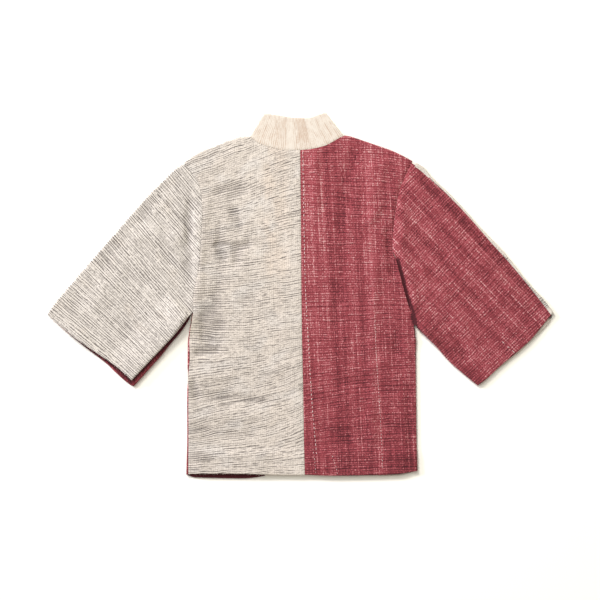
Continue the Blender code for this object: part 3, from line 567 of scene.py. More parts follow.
class Cloth:
    """The middle surface of one piece of cloth, grown from edge to edge.
    Edges are named clockwise as seen from above, so that outward is to their left.
    Each point also keeps the place that it had when the cloth was flat."""

    def __init__(self, grid, flat=None):
        self.points = []
        self.flat = []
        self.faces = []
        flat = grid[..., :2] if flat is None else flat
        self.rows = [self.add(row, places) for row, places in zip(grid, flat)]
        for a, b in zip(self.rows, self.rows[1:]):
            self.stitch(b, a)

    def add(self, places, flat):
        """Adds points and returns their numbers."""
        first = len(self.points)
        self.points += [tuple(p) for p in places]
        self.flat += [tuple(p) for p in flat]
        return list(range(first, first + len(places)))

    def stitch(self, a, b):
        """Joins two rows of points with faces."""
        for k in range(len(a) - 1):
            self.faces.append((a[k], a[k + 1], b[k + 1], b[k]))

    def extend(self, row, lines):
        """Adds lines of points after a row, joins them with faces and returns their numbers."""
        made = [self.add(places, flat) for places, flat in lines]
        for a, b in zip([row] + made, made):
            self.stitch(a, b)
        return made

    def where(self, row):
        """The places of a row's points."""
        return np.array([self.points[k] for k in row])

    def was(self, row):
        """Where they were when the cloth was flat."""
        return np.array([self.flat[k] for k in row])

    def normals(self):
        """The direction out of the cloth at each point."""
        points, faces = np.array(self.points), np.array(self.faces)
        each = np.cross(points[faces[:, 2]] - points[faces[:, 0]], points[faces[:, 3]] - points[faces[:, 1]])
        total = np.zeros_like(points)
        for k in range(4):
            np.add.at(total, faces[:, k], each)
        return unit(total)

    def roll(self, row, end):
        """Rolls the cloth half way round over an edge and runs it back to the end line."""
        edge, flat = self.where(row), self.was(row)
        out = across(edge)
        radius = (edge[:, 2] - end[:, 2]) / 2
        lines = []
        for turn in np.linspace(0, math.pi, TURN_STEPS + 1)[1:]:
            place = edge.copy()
            place[:, :2] += out * (np.abs(radius) * math.sin(turn))[:, None]
            place[:, 2] += radius * (math.cos(turn) - 1)
            lines.append((place, flat + out * (np.abs(radius) * turn)[:, None]))
        back = np.linalg.norm(end - place, axis=1)
        lines.append((end, flat + out * (np.abs(radius) * math.pi + back)[:, None]))
        return self.extend(row, lines)

    def lap(self, row, level, reach, share):
        """Turns the cloth down at an edge and runs it on under the next panel.
        The share, from 0 to 1, says how much of that there is at each point."""
        edge, flat = self.where(row), self.was(row)
        out = across(edge)
        drop = (edge[:, 2] - level) * share
        lines = []
        # Each row: how far out it runs in mm, and its share of the way down
        for run, down in ((0.3, 0.35), (0.5, 0.8), (1.4, 1.0), (reach / 2, 1.0), (reach, 1.0)):
            place = edge.copy()
            place[:, :2] += out * (run * share)[:, None]
            place[:, 2] -= drop * down
            lines.append((place, flat + out * (run * share + drop * down)[:, None]))
        self.extend(row, lines)

    def hem(self, rows, inside):
        """Turns the cloth in at an edge, the first of these rows, and back over the others, which
        lie further in. The inside is 1 where it is above the cloth and -1 where it is below."""
        row, deep = rows[0], rows[1:]
        half = inside * (CLOTH + SEAM) / 2
        normal = self.normals()
        edge, flat = self.where(row), self.was(row)
        way = unit(edge - self.where(deep[0]))
        lines = []
        for turn in np.linspace(0, math.pi, TURN_STEPS + 1)[1:]:
            place = edge + normal[row] * half * (1 - math.cos(turn)) + way * abs(half) * math.sin(turn)
            lines.append((place, flat + way[:, :2] * abs(half) * turn))
        for line in deep:
            back = flat + (flat - self.was(line)) + way[:, :2] * abs(half) * math.pi
            lines.append((self.where(line) + normal[line] * 2 * half, back))
        self.extend(row, lines)

    def solid(self, name, thick, panel, finish):
        """Gives the surface its thickness, its thread map and its finish, and makes the piece."""
        points, faces, normal = np.array(self.points), np.array(self.faces), self.normals()
        total = len(points)
        sides = np.vstack([faces[:, [k, (k + 1) % 4]] for k in range(4)])
        open_sides = sides[~np.isin(sides[:, 0] * total + sides[:, 1], sides[:, 1] * total + sides[:, 0])]
        out = np.zeros_like(points)
        way = points[open_sides[:, 1]] - points[open_sides[:, 0]]
        for k in (0, 1):
            np.add.at(out, open_sides[:, k], np.cross(way, normal[open_sides[:, k]]))
        rim = np.unique(open_sides)
        out[rim] = unit(out[rim])
        half = thick / 2
        bend = RIM * half
        levels = [points + normal * half - out * bend]
        for turn in np.radians((45, 0, -45)):
            high = (half - bend) * np.sign(turn) + bend * math.sin(turn)
            levels.append((points + normal * high - out * bend * (1 - math.cos(turn)))[rim])
        levels.append(points - normal * half - out * bend)
        number = np.full(total, -1)
        number[rim] = np.arange(len(rim))
        first = [0] + [total + k * len(rim) for k in range(4)]   # where each level's points start
        verts = np.vstack(levels)
        source = np.r_[np.arange(total), rim, rim, rim, np.arange(total)]
        walls = [faces, faces[:, ::-1] + first[4]]
        for k in range(4):
            upper_ring = open_sides if k == 0 else number[open_sides] + first[k]
            lower_ring = open_sides + first[4] if k == 3 else number[open_sides] + first[k + 1]
            walls.append(np.hstack([upper_ring[:, ::-1], lower_ring]))
        faces = np.vstack(walls)
        verts[:, :2] += TO_ORIGIN
        mesh = bpy.data.meshes.new(name)
        mesh.from_pydata((verts / 1000).tolist(), [], faces.tolist())
        mesh.polygons.foreach_set("use_smooth", [True] * len(faces))
        mesh.set_sharp_from_angle(angle=math.radians(SHARP))
        places = threads(panel, self.flat)[source[faces.ravel()]]
        mesh.uv_layers.new(name="threads").data.foreach_set("uv", places.ravel())
        # the hollow attribute carries painted shade: the finishes darken the colour by it
        mesh.attributes.new("hollow", "FLOAT", "POINT").data.foreach_set("value", hollow(points)[source])
        mesh.materials.append(finish)
        thing = bpy.data.objects.new(name, mesh)
        bpy.context.scene.collection.objects.link(thing)
        area = sum(face.area for face in mesh.polygons) / 2
        print(f"{name}: {2 * len(faces)} triangles, {area:.3f} square metres of cloth")
        return thing


# %% [markdown]
# ## How a weave is drawn
# A node material can draw cloth at any scale, without a picture. Every thread is a row: the place
# along the warp divided by the thread's pitch gives a whole number, which says which row it is,
# and a fraction, which says where in the row a point lies. Noise that is read with the row's
# number gives each thread its own thick and thin places, as in hand-spun yarn.

# %% A small kit for node materials
def set_stops(ramp, rows):
    """Sets a colour ramp's stops from rows of place and colour, in rising order."""
    stops = ramp.color_ramp.elements
    for k, (place, colour) in enumerate(rows):
        stop = stops[k] if k < 2 else stops.new(1.0)
        stop.position = place
        stop.color = (*colour, 1)


class Finish:
    """A node material whose sums are in millimetres of thread, which the piece's UV map holds."""

    def __init__(self, name, rough, sheen):
        self.material = bpy.data.materials.new(name)
        self.material.use_nodes = True
        self.tree = self.material.node_tree
        self.shader = self.tree.nodes["Principled BSDF"]
        for socket, value in (("Roughness", rough), ("Specular IOR Level", 0.2),
                              ("Sheen Weight", sheen), ("Sheen Roughness", 0.6)):
            self.shader.inputs[socket].default_value = value
        thread_map = self.node("ShaderNodeUVMap", uv_map="threads").outputs[0]
        self.u, self.v = self.node("ShaderNodeSeparateXYZ", thread_map).outputs[:2]
        # painted shade: the hollow attribute, high in folds and under overhanging edges
        self.hollow = self.node("ShaderNodeAttribute", attribute_name="hollow").outputs[2]

    def node(self, kind, *values, **settings):
        """A node with these settings and with these values or links in its sockets, in order."""
        made = self.tree.nodes.new(kind)
        for name, value in settings.items():
            setattr(made, name, value)
        for socket, value in zip(made.inputs, values):
            self.feed(socket, value)
        return made

    def feed(self, socket, value):
        """Links a socket, or sets it to a plain value, or leaves it as it is."""
        if isinstance(value, bpy.types.NodeSocket):
            self.tree.links.new(value, socket)
        elif value is not None:
            socket.default_value = value

    def sum(self, kind, *values):
        """The result of one Math node."""
        return self.node("ShaderNodeMath", *values, operation=kind).outputs[0]

    def chain(self, kind, values):
        """One result from many values, with a Math node between each two."""
        total = values[0]
        for value in values[1:]:
            total = self.sum(kind, total, value)
        return total

    def add(self, *values):
        """The values added up."""
        return self.chain("ADD", values)

    def times(self, *values):
        """The values multiplied."""
        return self.chain("MULTIPLY", values)

    def centred(self, value):
        """A value about 0.5 moved down, so that it strays about 0."""
        return self.add(value, -0.5)

    def noise(self, wide, tall, seed, detail=0.0, u=None, v=None):
        """Soft noise about 0.5, so many millimetres wide along the weft and tall along the warp."""
        across_it = self.sum("DIVIDE", self.u if u is None else u, wide)
        along_it = self.sum("DIVIDE", self.v if v is None else v, tall)
        place = self.node("ShaderNodeCombineXYZ", across_it, along_it, seed).outputs[0]
        return self.node("ShaderNodeTexNoise", place, None, 1.0, detail).outputs[0]

    def chance(self, number):
        """A random value for each whole number."""
        return self.node("ShaderNodeTexWhiteNoise", None, number, noise_dimensions="1D").outputs[0]

    def step(self, value, low, high, start=0.0, end=1.0):
        """A soft step from the start to the end as the value goes from low to high."""
        return self.node("ShaderNodeMapRange", value, low, high, start, end,
                         interpolation_type="SMOOTHSTEP").outputs[0]

    def drop(self, value, low, high):
        """A soft step down from 1 to 0."""
        return self.step(value, low, high, 1.0, 0.0)

    def strip(self, value, rise, full, fade, end):
        """1 between two places, falling softly to 0 beside them."""
        return self.times(self.step(value, rise, full), self.drop(value, fade, end))

    def rows(self, place, pitch, seed):
        """The number of the thread at a place, its own random number and the distance from its
        middle, from 0 to 0.5."""
        count = self.sum("DIVIDE", place, pitch)
        number = self.sum("FLOOR", count)
        own = self.chance(self.add(number, seed))
        middle = self.sum("MULTIPLY_ADD", own, 0.36, 0.32)
        return number, own, self.sum("ABSOLUTE", self.sum("SUBTRACT", self.sum("FRACT", count), middle))

    def order(self, stripes, start, wide):
        """Soft stripes across the panel, from rows of place and value."""
        share = self.node("ShaderNodeMapRange", self.u, start, start + wide, 0.0, 1.0).outputs[0]
        ramp = self.node("ShaderNodeValToRGB", share)
        set_stops(ramp, [((place + wide / 2) / wide, (value,) * 3) for place, value in stripes])
        return ramp.outputs[0]

    def blend(self, share, a, b):
        """A mix of two colours."""
        made = self.node("ShaderNodeMix", data_type="RGBA")
        self.feed(made.inputs[0], share)
        for socket, colour in ((made.inputs[6], a), (made.inputs[7], b)):
            self.feed(socket, colour if isinstance(colour, bpy.types.NodeSocket) else (*colour, 1.0))
        return made.outputs[2]

    def close(self, colour, height, deep):
        """Links the colour and the relief, whose height of 1 stands for so many millimetres."""
        self.feed(self.shader.inputs["Base Color"], colour)
        bump = self.node("ShaderNodeBump")
        bump.inputs["Strength"].default_value = 1.0
        bump.inputs["Distance"].default_value = deep / 1000
        self.feed(bump.inputs["Height"], height)
        self.feed(self.shader.inputs["Normal"], bump.outputs[0])
        print(self.material.name, "has", len(self.tree.nodes), "nodes")
        return self.material


# The thread map puts every panel at its own place along U, so a step between two places there
# tells one panel from another.
LEFT_SLEEVE_ENDS = (-550, -300)        # what lies below this on the map is the left sleeve
RIGHT_SLEEVE_STARTS = (1500, 1700)     # what lies above this is the right sleeve

# %% [markdown]
# ## The ecru cloth
# The real cloth has a pale, slightly creamy ground of fine threads. Every 7 or 8 mm a thin dark
# weft comes to the top for a few centimetres and goes under again, so the panel is covered with
# broken dashes. They stand closer and darker towards the sleeve. Rows with their own noise make
# the dashes, a finer set of rows makes the ground, and faint ribs run along the warp.

# %% Ecru slub cotton
ECRU_CREAM = (0.697, 0.6235, 0.5416)
ECRU_GREY = (0.70, 0.643, 0.577)
ECRU_PEACH = (0.714, 0.616, 0.518)     # the worn ground beside the centre seam
ECRU_DASH = (0.106, 0.089, 0.084)      # the dark wefts


def ecru_slub():
    """Dark dashes, fine wefts, ribs, flecks and wear on a pale ground."""
    cloth = Finish("ecru_slub_cotton", 0.92, 0.10)
    add, times, step, drop = cloth.add, cloth.times, cloth.step, cloth.drop
    noise, u, v = cloth.noise, cloth.u, cloth.v
    wobble = times(cloth.centred(noise(26, 12, 2)), 2.2)
    place = add(v, wobble)
    # painted shade: in hollows the ground is darker and its dark dashes likelier and bolder
    hollow = step(cloth.hollow, 0.05, 1.1)
    run = times(u, step(u, *LEFT_SLEEVE_ENDS, 1.4, 1.0))
    patch = cloth.centred(noise(75, 55, 6, 1))
    wear = add(step(u, -330, -30, 0.06, -0.02), step(u, *RIGHT_SLEEVE_STARTS, 0.0, -0.14))
    bias = add(wear, times(patch, 0.18), times(hollow, 0.26))
    sleeve = step(u, *LEFT_SLEEVE_ENDS, 0.14, 0.0)

    def dashes(pitch, seed, long, short, thick, start):
        """Dark wefts that come to the top for a while, with long and short breaks."""
        row, _, off = cloth.rows(add(place, start), pitch, seed)
        uneven = noise(24, 0.3, seed + 1, u=run, v=row)
        slim = cloth.sum("MULTIPLY_ADD", uneven, thick / pitch, 0.15 / pitch)
        thin = drop(cloth.sum("DIVIDE", off, slim), 0.3, 1.3)
        likely = add(times(noise(long, 0.2, seed + 2, u=run, v=row), 0.5),
                     times(noise(short, 0.3, seed + 3, u=run, v=row), 0.5), bias)
        own = cloth.chance(add(row, seed + 0.5))
        strength = add(cloth.sum("MULTIPLY_ADD", own, 0.6, 0.48), times(hollow, 0.3), sleeve)
        return times(thin, step(likely, 0.38, 0.58), strength)

    bold = dashes(5.6, 3, 62, 13, 1.3, 0.0)
    faint = dashes(4.3, 43, 34, 7, 1.1, 2.2)
    fine_row, _, fine_off = cloth.rows(add(place, 1.7), 3.1, 11)
    fine = times(drop(fine_off, 0.05, 0.34), step(noise(6, 0.3, 7, v=fine_row), 0.44, 0.62))
    rib_row, _, rib_off = cloth.rows(add(u, wobble), 4.4, 17)
    rib = times(step(rib_off, 0.1, 0.4), noise(0.3, 40, 8, u=rib_row))
    fleck = step(noise(2.6, 1.7, 9, 1), 0.52, 0.72)
    # painted shade: darker in folds, and nearly black under overhanging edges
    dark = add(times(bold, 0.82), times(faint, 0.66), times(fine, 0.30), times(rib, 0.17),
               times(fleck, 0.26), times(hollow, 0.14), step(cloth.hollow, 1.0, 2.0, 0.0, 0.6),
               step(u, *LEFT_SLEEVE_ENDS, -0.05, 0.0))
    grey = step(add(noise(60, 45, 10, 1), step(u, -420, -250, 0.2, -0.1)), 0.36, 0.64)
    wear_and_painted_highlight = times(cloth.strip(u, -112, -82, -56, -22), step(v, -60, 60, 0.25, 1.0),
                 step(noise(34, 60, 14, 1), 0.3, 0.62))
    ground = cloth.blend(wear_and_painted_highlight, cloth.blend(grey, ECRU_CREAM, ECRU_GREY), ECRU_PEACH)
    share = cloth.node("ShaderNodeClamp", dark, 0.0, 0.92).outputs[0]
    height = cloth.sum("SUBTRACT", times(noise(3.4, 2.4, 12, 1), 0.6),
                       add(times(bold, 0.8), times(fine, 0.3), times(rib, 0.4)))
    return cloth.close(cloth.blend(share, ground, ECRU_DASH), height, 0.7)


ecru_cloth = ecru_slub()

# %% [markdown]
# ## The raspberry cloth
# This cloth is dyed in the yarn, and unevenly. Pale and dark warp threads make soft streaks along
# the panel, and light wefts cross them, so that the surface is a small basket pattern of maroon,
# rose and pale pink. Two sets of rows, one each way, give the basket, and long noise along the
# warp gives the heathered streaks.

# %% Raspberry heather
# The order of the warp colours: millimetres across the panel, then how pale the threads are there
BODY_STRIPES = ((-133, 0.5), (-118, 0.52), (-103, 0.62), (-90, 0.53), (-74, 0.58), (-62, 0.42), (-50, 0.47),
                (-38, 0.42), (-20, 0.53), (-8, 0.53), (5, 0.40), (15, 0.47), (30, 0.66), (42, 0.55),
                (56, 0.48), (70, 0.49), (78, 0.52), (90, 0.42), (108, 0.58), (118, 0.5), (126, 0.42))
SLEEVE_STRIPES = ((-125, 0.48), (-112, 0.40), (-98, 0.43), (-80, 0.52), (-67, 0.60), (-60, 0.49),
                  (-45, 0.58), (-30, 0.60), (-18, 0.45), (-8, 0.46), (2, 0.57), (12, 0.60), (22, 0.44),
                  (35, 0.45), (45, 0.60), (58, 0.47), (72, 0.46), (83, 0.43), (98, 0.60), (106, 0.56),
                  (117, 0.40), (125, 0.46))
RASPBERRY = (   # the ramp from dark to pale threads
    (0.0, (0.069, 0.0097, 0.0137)),
    (0.40, (0.277, 0.0437, 0.0543)),
    (0.66, (0.423, 0.121, 0.134)),
    (1.0, (0.656, 0.387, 0.371)),
)


def raspberry_heather():
    """Wefts, gaps, warps and streaks, which together say how light each place is."""
    cloth = Finish("raspberry_heather_cotton", 0.92, 0.08)
    add, times, step, drop = cloth.add, cloth.times, cloth.step, cloth.drop
    noise, centred, u, v = cloth.noise, cloth.centred, cloth.u, cloth.v
    wobble = times(centred(noise(14, 8, 21)), 2.4)
    place = add(v, wobble)
    # painted shade: the hollow attribute, soft in folds
    hollow = step(cloth.hollow, 0.05, 1.1)
    row, _, off = cloth.rows(place, 5.4, 23)
    lit = add(times(noise(30, 0.3, 24, v=row), 0.4), times(noise(3.6, 0.3, 25, v=row), 0.6))
    weft = times(drop(off, 0.06, 0.36), step(lit, 0.42, 0.66))
    gap = times(step(off, 0.24, 0.46), noise(9, 0.3, 26, v=row))
    rib_row, _, rib_off = cloth.rows(add(u, times(wobble, 0.4)), 4.8, 27)
    warp = times(drop(rib_off, 0.05, 0.32), step(noise(0.3, 6, 28, u=rib_row), 0.42, 0.64),
                 step(noise(0.3, 260, 33, u=rib_row), 0.36, 0.66))
    streak = add(times(noise(4.6, 480, 29), 0.75), times(noise(17, 420, 30), 0.25))
    stripes = cloth.blend(step(u, *RIGHT_SLEEVE_STARTS), cloth.order(BODY_STRIPES, 767, 266),
                          cloth.order(SLEEVE_STRIPES, 1775, 250))
    line_row, _, line_off = cloth.rows(add(u, wobble), 13, 51)
    line = times(drop(line_off, 0.02, 0.09), step(noise(0.3, 90, 52, u=line_row), 0.46, 0.62))
    cloud = noise(45, 40, 31, 1)
    fleck = noise(2.4, 1.8, 32, 1)
    # painted shade: darker in folds, and nearly black under overhanging edges
    light = add(times(weft, 0.35), times(gap, -0.34), times(warp, 0.34), times(centred(streak), 0.36),
                times(centred(cloud), 0.26), times(centred(stripes), 0.85), times(line, 0.28),
                times(hollow, -0.13), times(centred(fleck), 1.05), 0.05,
                # painted shade: the cloth is made darker towards the lower edge, where the lamps' light
                # falls off
                step(u, *RIGHT_SLEEVE_STARTS, 0.305, 0.285), step(v, -420, 340, -0.04, 0.03),
                step(v, -420, -250, -0.08, 0.0), step(cloth.hollow, 0.9, 1.9, 0.0, -0.62))
    ramp = cloth.node("ShaderNodeValToRGB", light)
    set_stops(ramp, RASPBERRY)
    height = add(times(weft, 0.6), times(warp, 0.4), times(gap, -0.4), times(fleck, 0.5))
    return cloth.close(ramp.outputs[0], height, 0.6)


raspberry_cloth = raspberry_heather()

# %% [markdown]
# ## The ivory band
# The collar is a finer, ribbed ivory cotton, with its ribs across the band. The dye is a little
# peachy between the ribs, and the band is softly uneven. Behind the neck a darker peach patch is
# painted shade, and two paler strips beside it are painted highlights on the band's folds.

# %% Ivory ribbed cotton
IVORY_PALE = (0.694, 0.627, 0.541)
IVORY_PEACH = (0.530, 0.402, 0.305)


def ivory_rib():
    """Ribs across the band, soft clouds, and behind the neck a peachy patch of painted shade between two
    paler strips of painted highlight.
    """
    cloth = Finish("ivory_ribbed_cotton", 0.9, 0.15)
    add, times, step, strip = cloth.add, cloth.times, cloth.step, cloth.strip
    noise, u, v = cloth.noise, cloth.u, cloth.v
    sway = times(cloth.centred(noise(30, 40, 41)), 5.0)
    row, own, off = cloth.rows(add(u, sway), 3.9, 43)
    rib = times(step(off, 0.12, 0.38), add(0.35, own))
    rib = times(rib, step(noise(0.3, 16, 44, u=row), 0.30, 0.60))
    fleck = noise(2.6, 3.2, 45, 1)
    cloud = step(noise(26, 34, 46, 1), 0.36, 0.64)
    # painted shade: a darker peach patch behind the neck, over the centre seam
    seam = times(strip(u, 2, 6, 26, 30), step(v, 12, 30))
    # painted highlight: two paler strips beside the patch, where the band's folds face the light
    wear_and_painted_highlight = add(strip(u, 30, 36, 46, 58), strip(u, -20, -12, -6, 0))
    share = add(times(rib, 0.85), times(cloud, 0.20), times(seam, 0.38), times(wear_and_painted_highlight, -0.16),
                times(cloth.centred(fleck), 0.9))
    colour = cloth.blend(cloth.node("ShaderNodeClamp", share).outputs[0], IVORY_PALE, IVORY_PEACH)
    return cloth.close(colour, add(times(rib, -0.6), times(fleck, 0.5)), 0.5)


ivory_cloth = ivory_rib()

# %% [markdown]
# ## The lines that the panels share
# A seam joins two panels, so both are cut to the same line, each a hair's breadth to its own side
# of it. The lines are cut into steps once, here, and every panel below takes its edges from them.

# %% Shared seam lines
GAP = SEAM / 2           # how far each panel stops from the middle of a seam
CENTRE_LONG = 746        # length of the centre back seam
AT_ARMPIT = 0.52         # share of it that lies above the armpits
CLOSED = 9 * FINE        # steps down the right armhole to where it stands open
OPEN_ROW = CLOSED + 3    # row where the raspberry back's own edge starts to run under the sleeve
OPEN_LAP = 10.0          # how far it runs under
at_hem = 1 - HEM / CENTRE_LONG
centre = trace(CENTRE_BACK, np.r_[np.linspace(0, AT_ARMPIT, ARM + 1),
                                  np.linspace(AT_ARMPIT, at_hem, SIDE + 1)[1:],
                                  np.linspace(at_hem, 1, HEM_STEPS + 1)[1:]])
arm_left = trace(ARMHOLE_LEFT, ARM)
arm_right = join(trace(ARMHOLE_RIGHT, CLOSED), trace(SLIT_RIGHT, ARM - CLOSED))
slit = np.interp(np.arange(ARM + 1) / FINE, (9, 9.5, 10, 11, 12, 12.8, 13.4, 14, 15),
                 (0, 1.4, 4.2, 6.4, 6.6, 5.6, 2.4, 0.8, 0.6))   # how wide it stands open
neck_left = trace(NECK_LEFT, NECK)
neck_right = trace(NECK_RIGHT, NECK)
shoulder_left = rolled(trace(SHOULDER_LEFT, SHOULDER), -1)
shoulder_right = rolled(trace(SHOULDER_RIGHT, SHOULDER), -1)
side_left = to_hem(SIDE_LEFT, SIDE)
side_right = rolled(to_hem(SIDE_RIGHT_OUT, SIDE), -1)
band_left = to_hem(BAND_LEFT, ARM + SIDE)
band_right = to_hem(BAND_RIGHT, ARM + SIDE)
low_left = to_hem(SLEEVE_LEFT_LOW, ALONG)
top_left = rolled(to_hem(SLEEVE_LEFT_TOP, ALONG), 1)
low_right = rolled(to_hem(SLEEVE_RIGHT_LOW, ALONG), 1)
seam_right = to_hem(SEAM_RIGHT_TOP, ALONG)
hem_rows = range(HEM_STEPS + 1)
print("points on the centre seam:", len(centre), "and along a sleeve:", len(low_left))

# %% [markdown]
# ## Back panels
# Both back panels roll over the shoulders to the front. At the lower edge the cloth is turned in
# as a hem. The raspberry one also rolls under along the right side.

# %% Back panels
def ecru_back():
    """The left half, which rolls over the shoulder and has its hem turned in below."""
    top = np.vstack([shoulder_left, aside(neck_left, -GAP)])
    edge = aside(join(arm_left, side_left), GAP)
    grid = fill(top, trace(HEM_LEFT, len(top) - 1), edge, aside(centre, -GAP))
    grid[[0, -1], -1, 0] -= GAP
    cloth = Cloth(raised(grid))
    cloth.roll(cloth.rows[0][:SHOULDER + 1], resting(aside(shoulder_left, -TUCK)))
    cloth.hem([cloth.rows[-1 - k][::-1] for k in hem_rows], -1)
    return cloth.solid("ecru_back", CLOTH, "body_left", ecru_cloth)


def raspberry_back():
    """The right half, which also rolls under at the side. Its armhole edge runs on under the
    sleeve where the seam stands open."""
    top = np.vstack([aside(neck_right, -GAP), shoulder_right])
    edge = np.vstack([aside(arm_right, -GAP)[:-1], side_right])
    grid = fill(top, trace(HEM_RIGHT, len(top) - 1), aside(centre, GAP), edge)
    grid[[0, -1], 0, 0] += GAP
    grid[-1, -1] = side_right[-1]
    cloth = Cloth(raised(grid))
    cloth.roll(cloth.rows[0][NECK + 1:], resting(aside(shoulder_right, -TUCK)))
    side = cloth.roll([row[-1] for row in cloth.rows[ARM:]], resting(aside(side_right, -TUCK)))
    open_rows = cloth.rows[OPEN_ROW:ARM + 1]
    way = np.linspace(0, 1, len(open_rows))
    share = smooth(0.42 + 0.78 * way) * (1 - 0.8 * smooth((way - 0.66) / 0.24))
    cloth.lap([row[-1] for row in open_rows], LOWEST, OPEN_LAP, share)
    cloth.hem([[row[-1 - k] for row in side[::-1]] + cloth.rows[-1 - k][::-1] for k in hem_rows], -1)
    return cloth.solid("raspberry_back", CLOTH, "body_right", raspberry_cloth)


back_pieces = {"back_left": ecru_back(), "back_right": raspberry_back()}

# %% [markdown]
# ## Front panels
# The fronts lie underneath, flat on the surface. The raspberry one is cut a little wider and rolls
# up round the left side, so that a narrow strip of it shows beside the ecru back.

# %% Front panels
def raspberry_front():
    """The left front, which rolls up round the side. Where hidden is 1, its rolled edge lies under
    the ecru back, and elsewhere it shows as a strip."""
    side = rolled(to_hem(SIDE_LEFT_OUT, SIDE), 1)
    top = aside(shoulder_left, -TUCK - SEAM)
    edge = np.vstack([aside(arm_left, GAP)[:-1], side])
    bottom = trace(FRONT_HEM_LEFT, SHOULDER)
    bottom[0], bottom[-1] = side[-1], aside(band_left, -GAP)[-1]
    cloth = Cloth(resting(fill(top, bottom, edge, aside(band_left, -GAP))))
    seam = raised_line(aside(side_left, -GAP))
    y = seam[:, 1]
    hidden = np.maximum(smooth((y + 100) / 14), smooth((-y - 160) / 16) * smooth((y + 214) / 16))
    seam += np.column_stack([2.2 * hidden, 0 * hidden, -(CLOTH + SEAM) * hidden])
    over = cloth.roll([row[0] for row in cloth.rows[ARM:]][::-1], seam[::-1])
    cloth.hem([cloth.rows[-1 - k][::-1] + [row[k] for row in over] for k in hem_rows], 1)
    return cloth.solid("raspberry_front", CLOTH, "body_left", raspberry_cloth)


def ecru_front():
    """The right front, which lies flat under the raspberry back."""
    top = aside(shoulder_right, -TUCK - SEAM)
    edge = np.vstack([aside(arm_right, -GAP)[:-1], aside(side_right, -TUCK - SEAM)])
    bottom = trace(FRONT_HEM_RIGHT, SHOULDER)
    bottom[0], bottom[-1] = aside(band_right, GAP)[-1], edge[-1]
    cloth = Cloth(resting(fill(top, bottom, aside(band_right, GAP), edge)))
    cloth.hem([cloth.rows[-1 - k][::-1] for k in hem_rows], 1)
    return cloth.solid("ecru_front", CLOTH, "body_right", ecru_cloth)


front_pieces = {"front_left": raspberry_front(), "front_right": ecru_front()}

# %% [markdown]
# ## Sleeves
# Each sleeve is one tube pressed flat. Its back half is one colour and its front half the other,
# and the seams between them lie a little off the fold, so each colour shows as a narrow strip
# beside the other: raspberry along the left sleeve's lower edge and ecru along the right one's top.

# %% Sleeves
GROWN = ALONG // 4       # steps along which a sleeve's roll grows from the armpit


def ecru_sleeve_back():
    """Rolls under along the top. Along its lower edge it turns down onto the other half's roll, and
    that turn grows from the armpit."""
    over_roll = LOW_ROLL + CLOTH + SEAM
    full = (raised_line(low_left)[:, 2] - over_roll) / 2
    turn = np.maximum(GAP, full * smooth(np.arange(len(low_left)) / (4 * FINE)))
    low = aside(low_left, -turn)
    grid = fill(top_left[::-1], low[::-1], between(CUFF_LEFT, top_left, low), aside(arm_left, -GAP))
    cloth = Cloth(raised(grid))
    top = cloth.roll(cloth.rows[0], resting(aside(top_left, TUCK)[::-1]))
    edge = cloth.rows[-1][::-1][FINE:]
    level = np.maximum(over_roll, cloth.where(edge)[:, 2] - 2 * turn[FINE:])
    cloth.roll(edge, np.column_stack([aside(low_left, -turn - 2)[FINE:], level]))
    cloth.hem([[row[k] for row in cloth.rows[::-1][FINE:] + top] for k in hem_rows], -1)
    return cloth.solid("ecru_sleeve_back", CLOTH, "sleeve_left", ecru_cloth)


def raspberry_sleeve_front():
    """Rolls up along its lower edge and ends under the ecru half, so that the roll shows."""
    level = UNDER + (LOW_ROLL - UNDER) * (0.25 + 0.75 * smooth(np.arange(len(low_left)) / GROWN))
    low = rolled(to_hem(SLEEVE_LEFT_OUT, ALONG), -1, level)
    top = aside(top_left, TUCK + SEAM)
    grid = fill(top[::-1], low[::-1], between(FRONT_CUFF_LEFT, top, low), aside(arm_left, -GAP))
    cloth = Cloth(resting(grid))
    lapped = aside(low_left, -np.interp(np.arange(len(low)), (0, GROWN, 2 * GROWN), (0.5, 2.5, 3.5)))
    cloth.roll(cloth.rows[-1][::-1][FINE:], np.column_stack([lapped, level])[FINE:])
    cloth.hem([[row[k] for row in cloth.rows[::-1]] for k in hem_rows], 1)
    return cloth.solid("raspberry_sleeve_front", CLOTH, "sleeve_left", raspberry_cloth)


def raspberry_sleeve_back():
    """Rolls under along its lower edge. Above the armpit it stands a little away from the back."""
    top = aside(seam_right, -GAP)
    grid = fill(top, low_right, aside(arm_right, GAP + slit), between(CUFF_RIGHT, top, low_right))
    cloth = Cloth(raised(grid))
    low = cloth.roll(cloth.rows[-1][::-1], resting(aside(low_right, TUCK)[::-1]))
    cloth.hem([[row[-1 - k] for row in cloth.rows] + [row[k] for row in low] for k in hem_rows], -1)
    return cloth.solid("raspberry_sleeve_back", CLOTH, "sleeve_right", raspberry_cloth)


def ecru_sleeve_front():
    """Rolls up along the top as far as the seam, so that it shows there and at the cuff."""
    top = rolled(to_hem(SLEEVE_RIGHT_TOP, ALONG), -1)
    low = aside(low_right, TUCK + SEAM)
    cloth = Cloth(resting(fill(top, low, aside(arm_right, GAP), between(FRONT_CUFF_RIGHT, top, low))))
    cloth.roll(cloth.rows[0], raised_line(aside(seam_right, GAP)))
    cloth.hem([[row[-1 - k] for row in cloth.rows[FINE:]] for k in hem_rows], 1)
    return cloth.solid("ecru_sleeve_front", CLOTH, "sleeve_right", ecru_cloth)


sleeve_pieces = {"sleeve_left_back": ecru_sleeve_back(), "sleeve_left_front": raspberry_sleeve_front(),
                 "sleeve_right_back": raspberry_sleeve_back(), "sleeve_right_front": ecru_sleeve_front()}

# %% [markdown]
# ## The collar
# The collar is one long band, folded double along its free edge. It lies across the back of the
# neck, folds over at each side of it and runs down both fronts to the hem. The solid is a single
# wall, and here the band has its two layers and the round fold that joins them.

# %% Collar band
BAND_STEPS = 12          # steps across the band
FOLD_STEPS = 6           # steps round the fold along its free edge
FOLD_SHIFT = 0.9         # how far the neck's folds stay clear of the seam


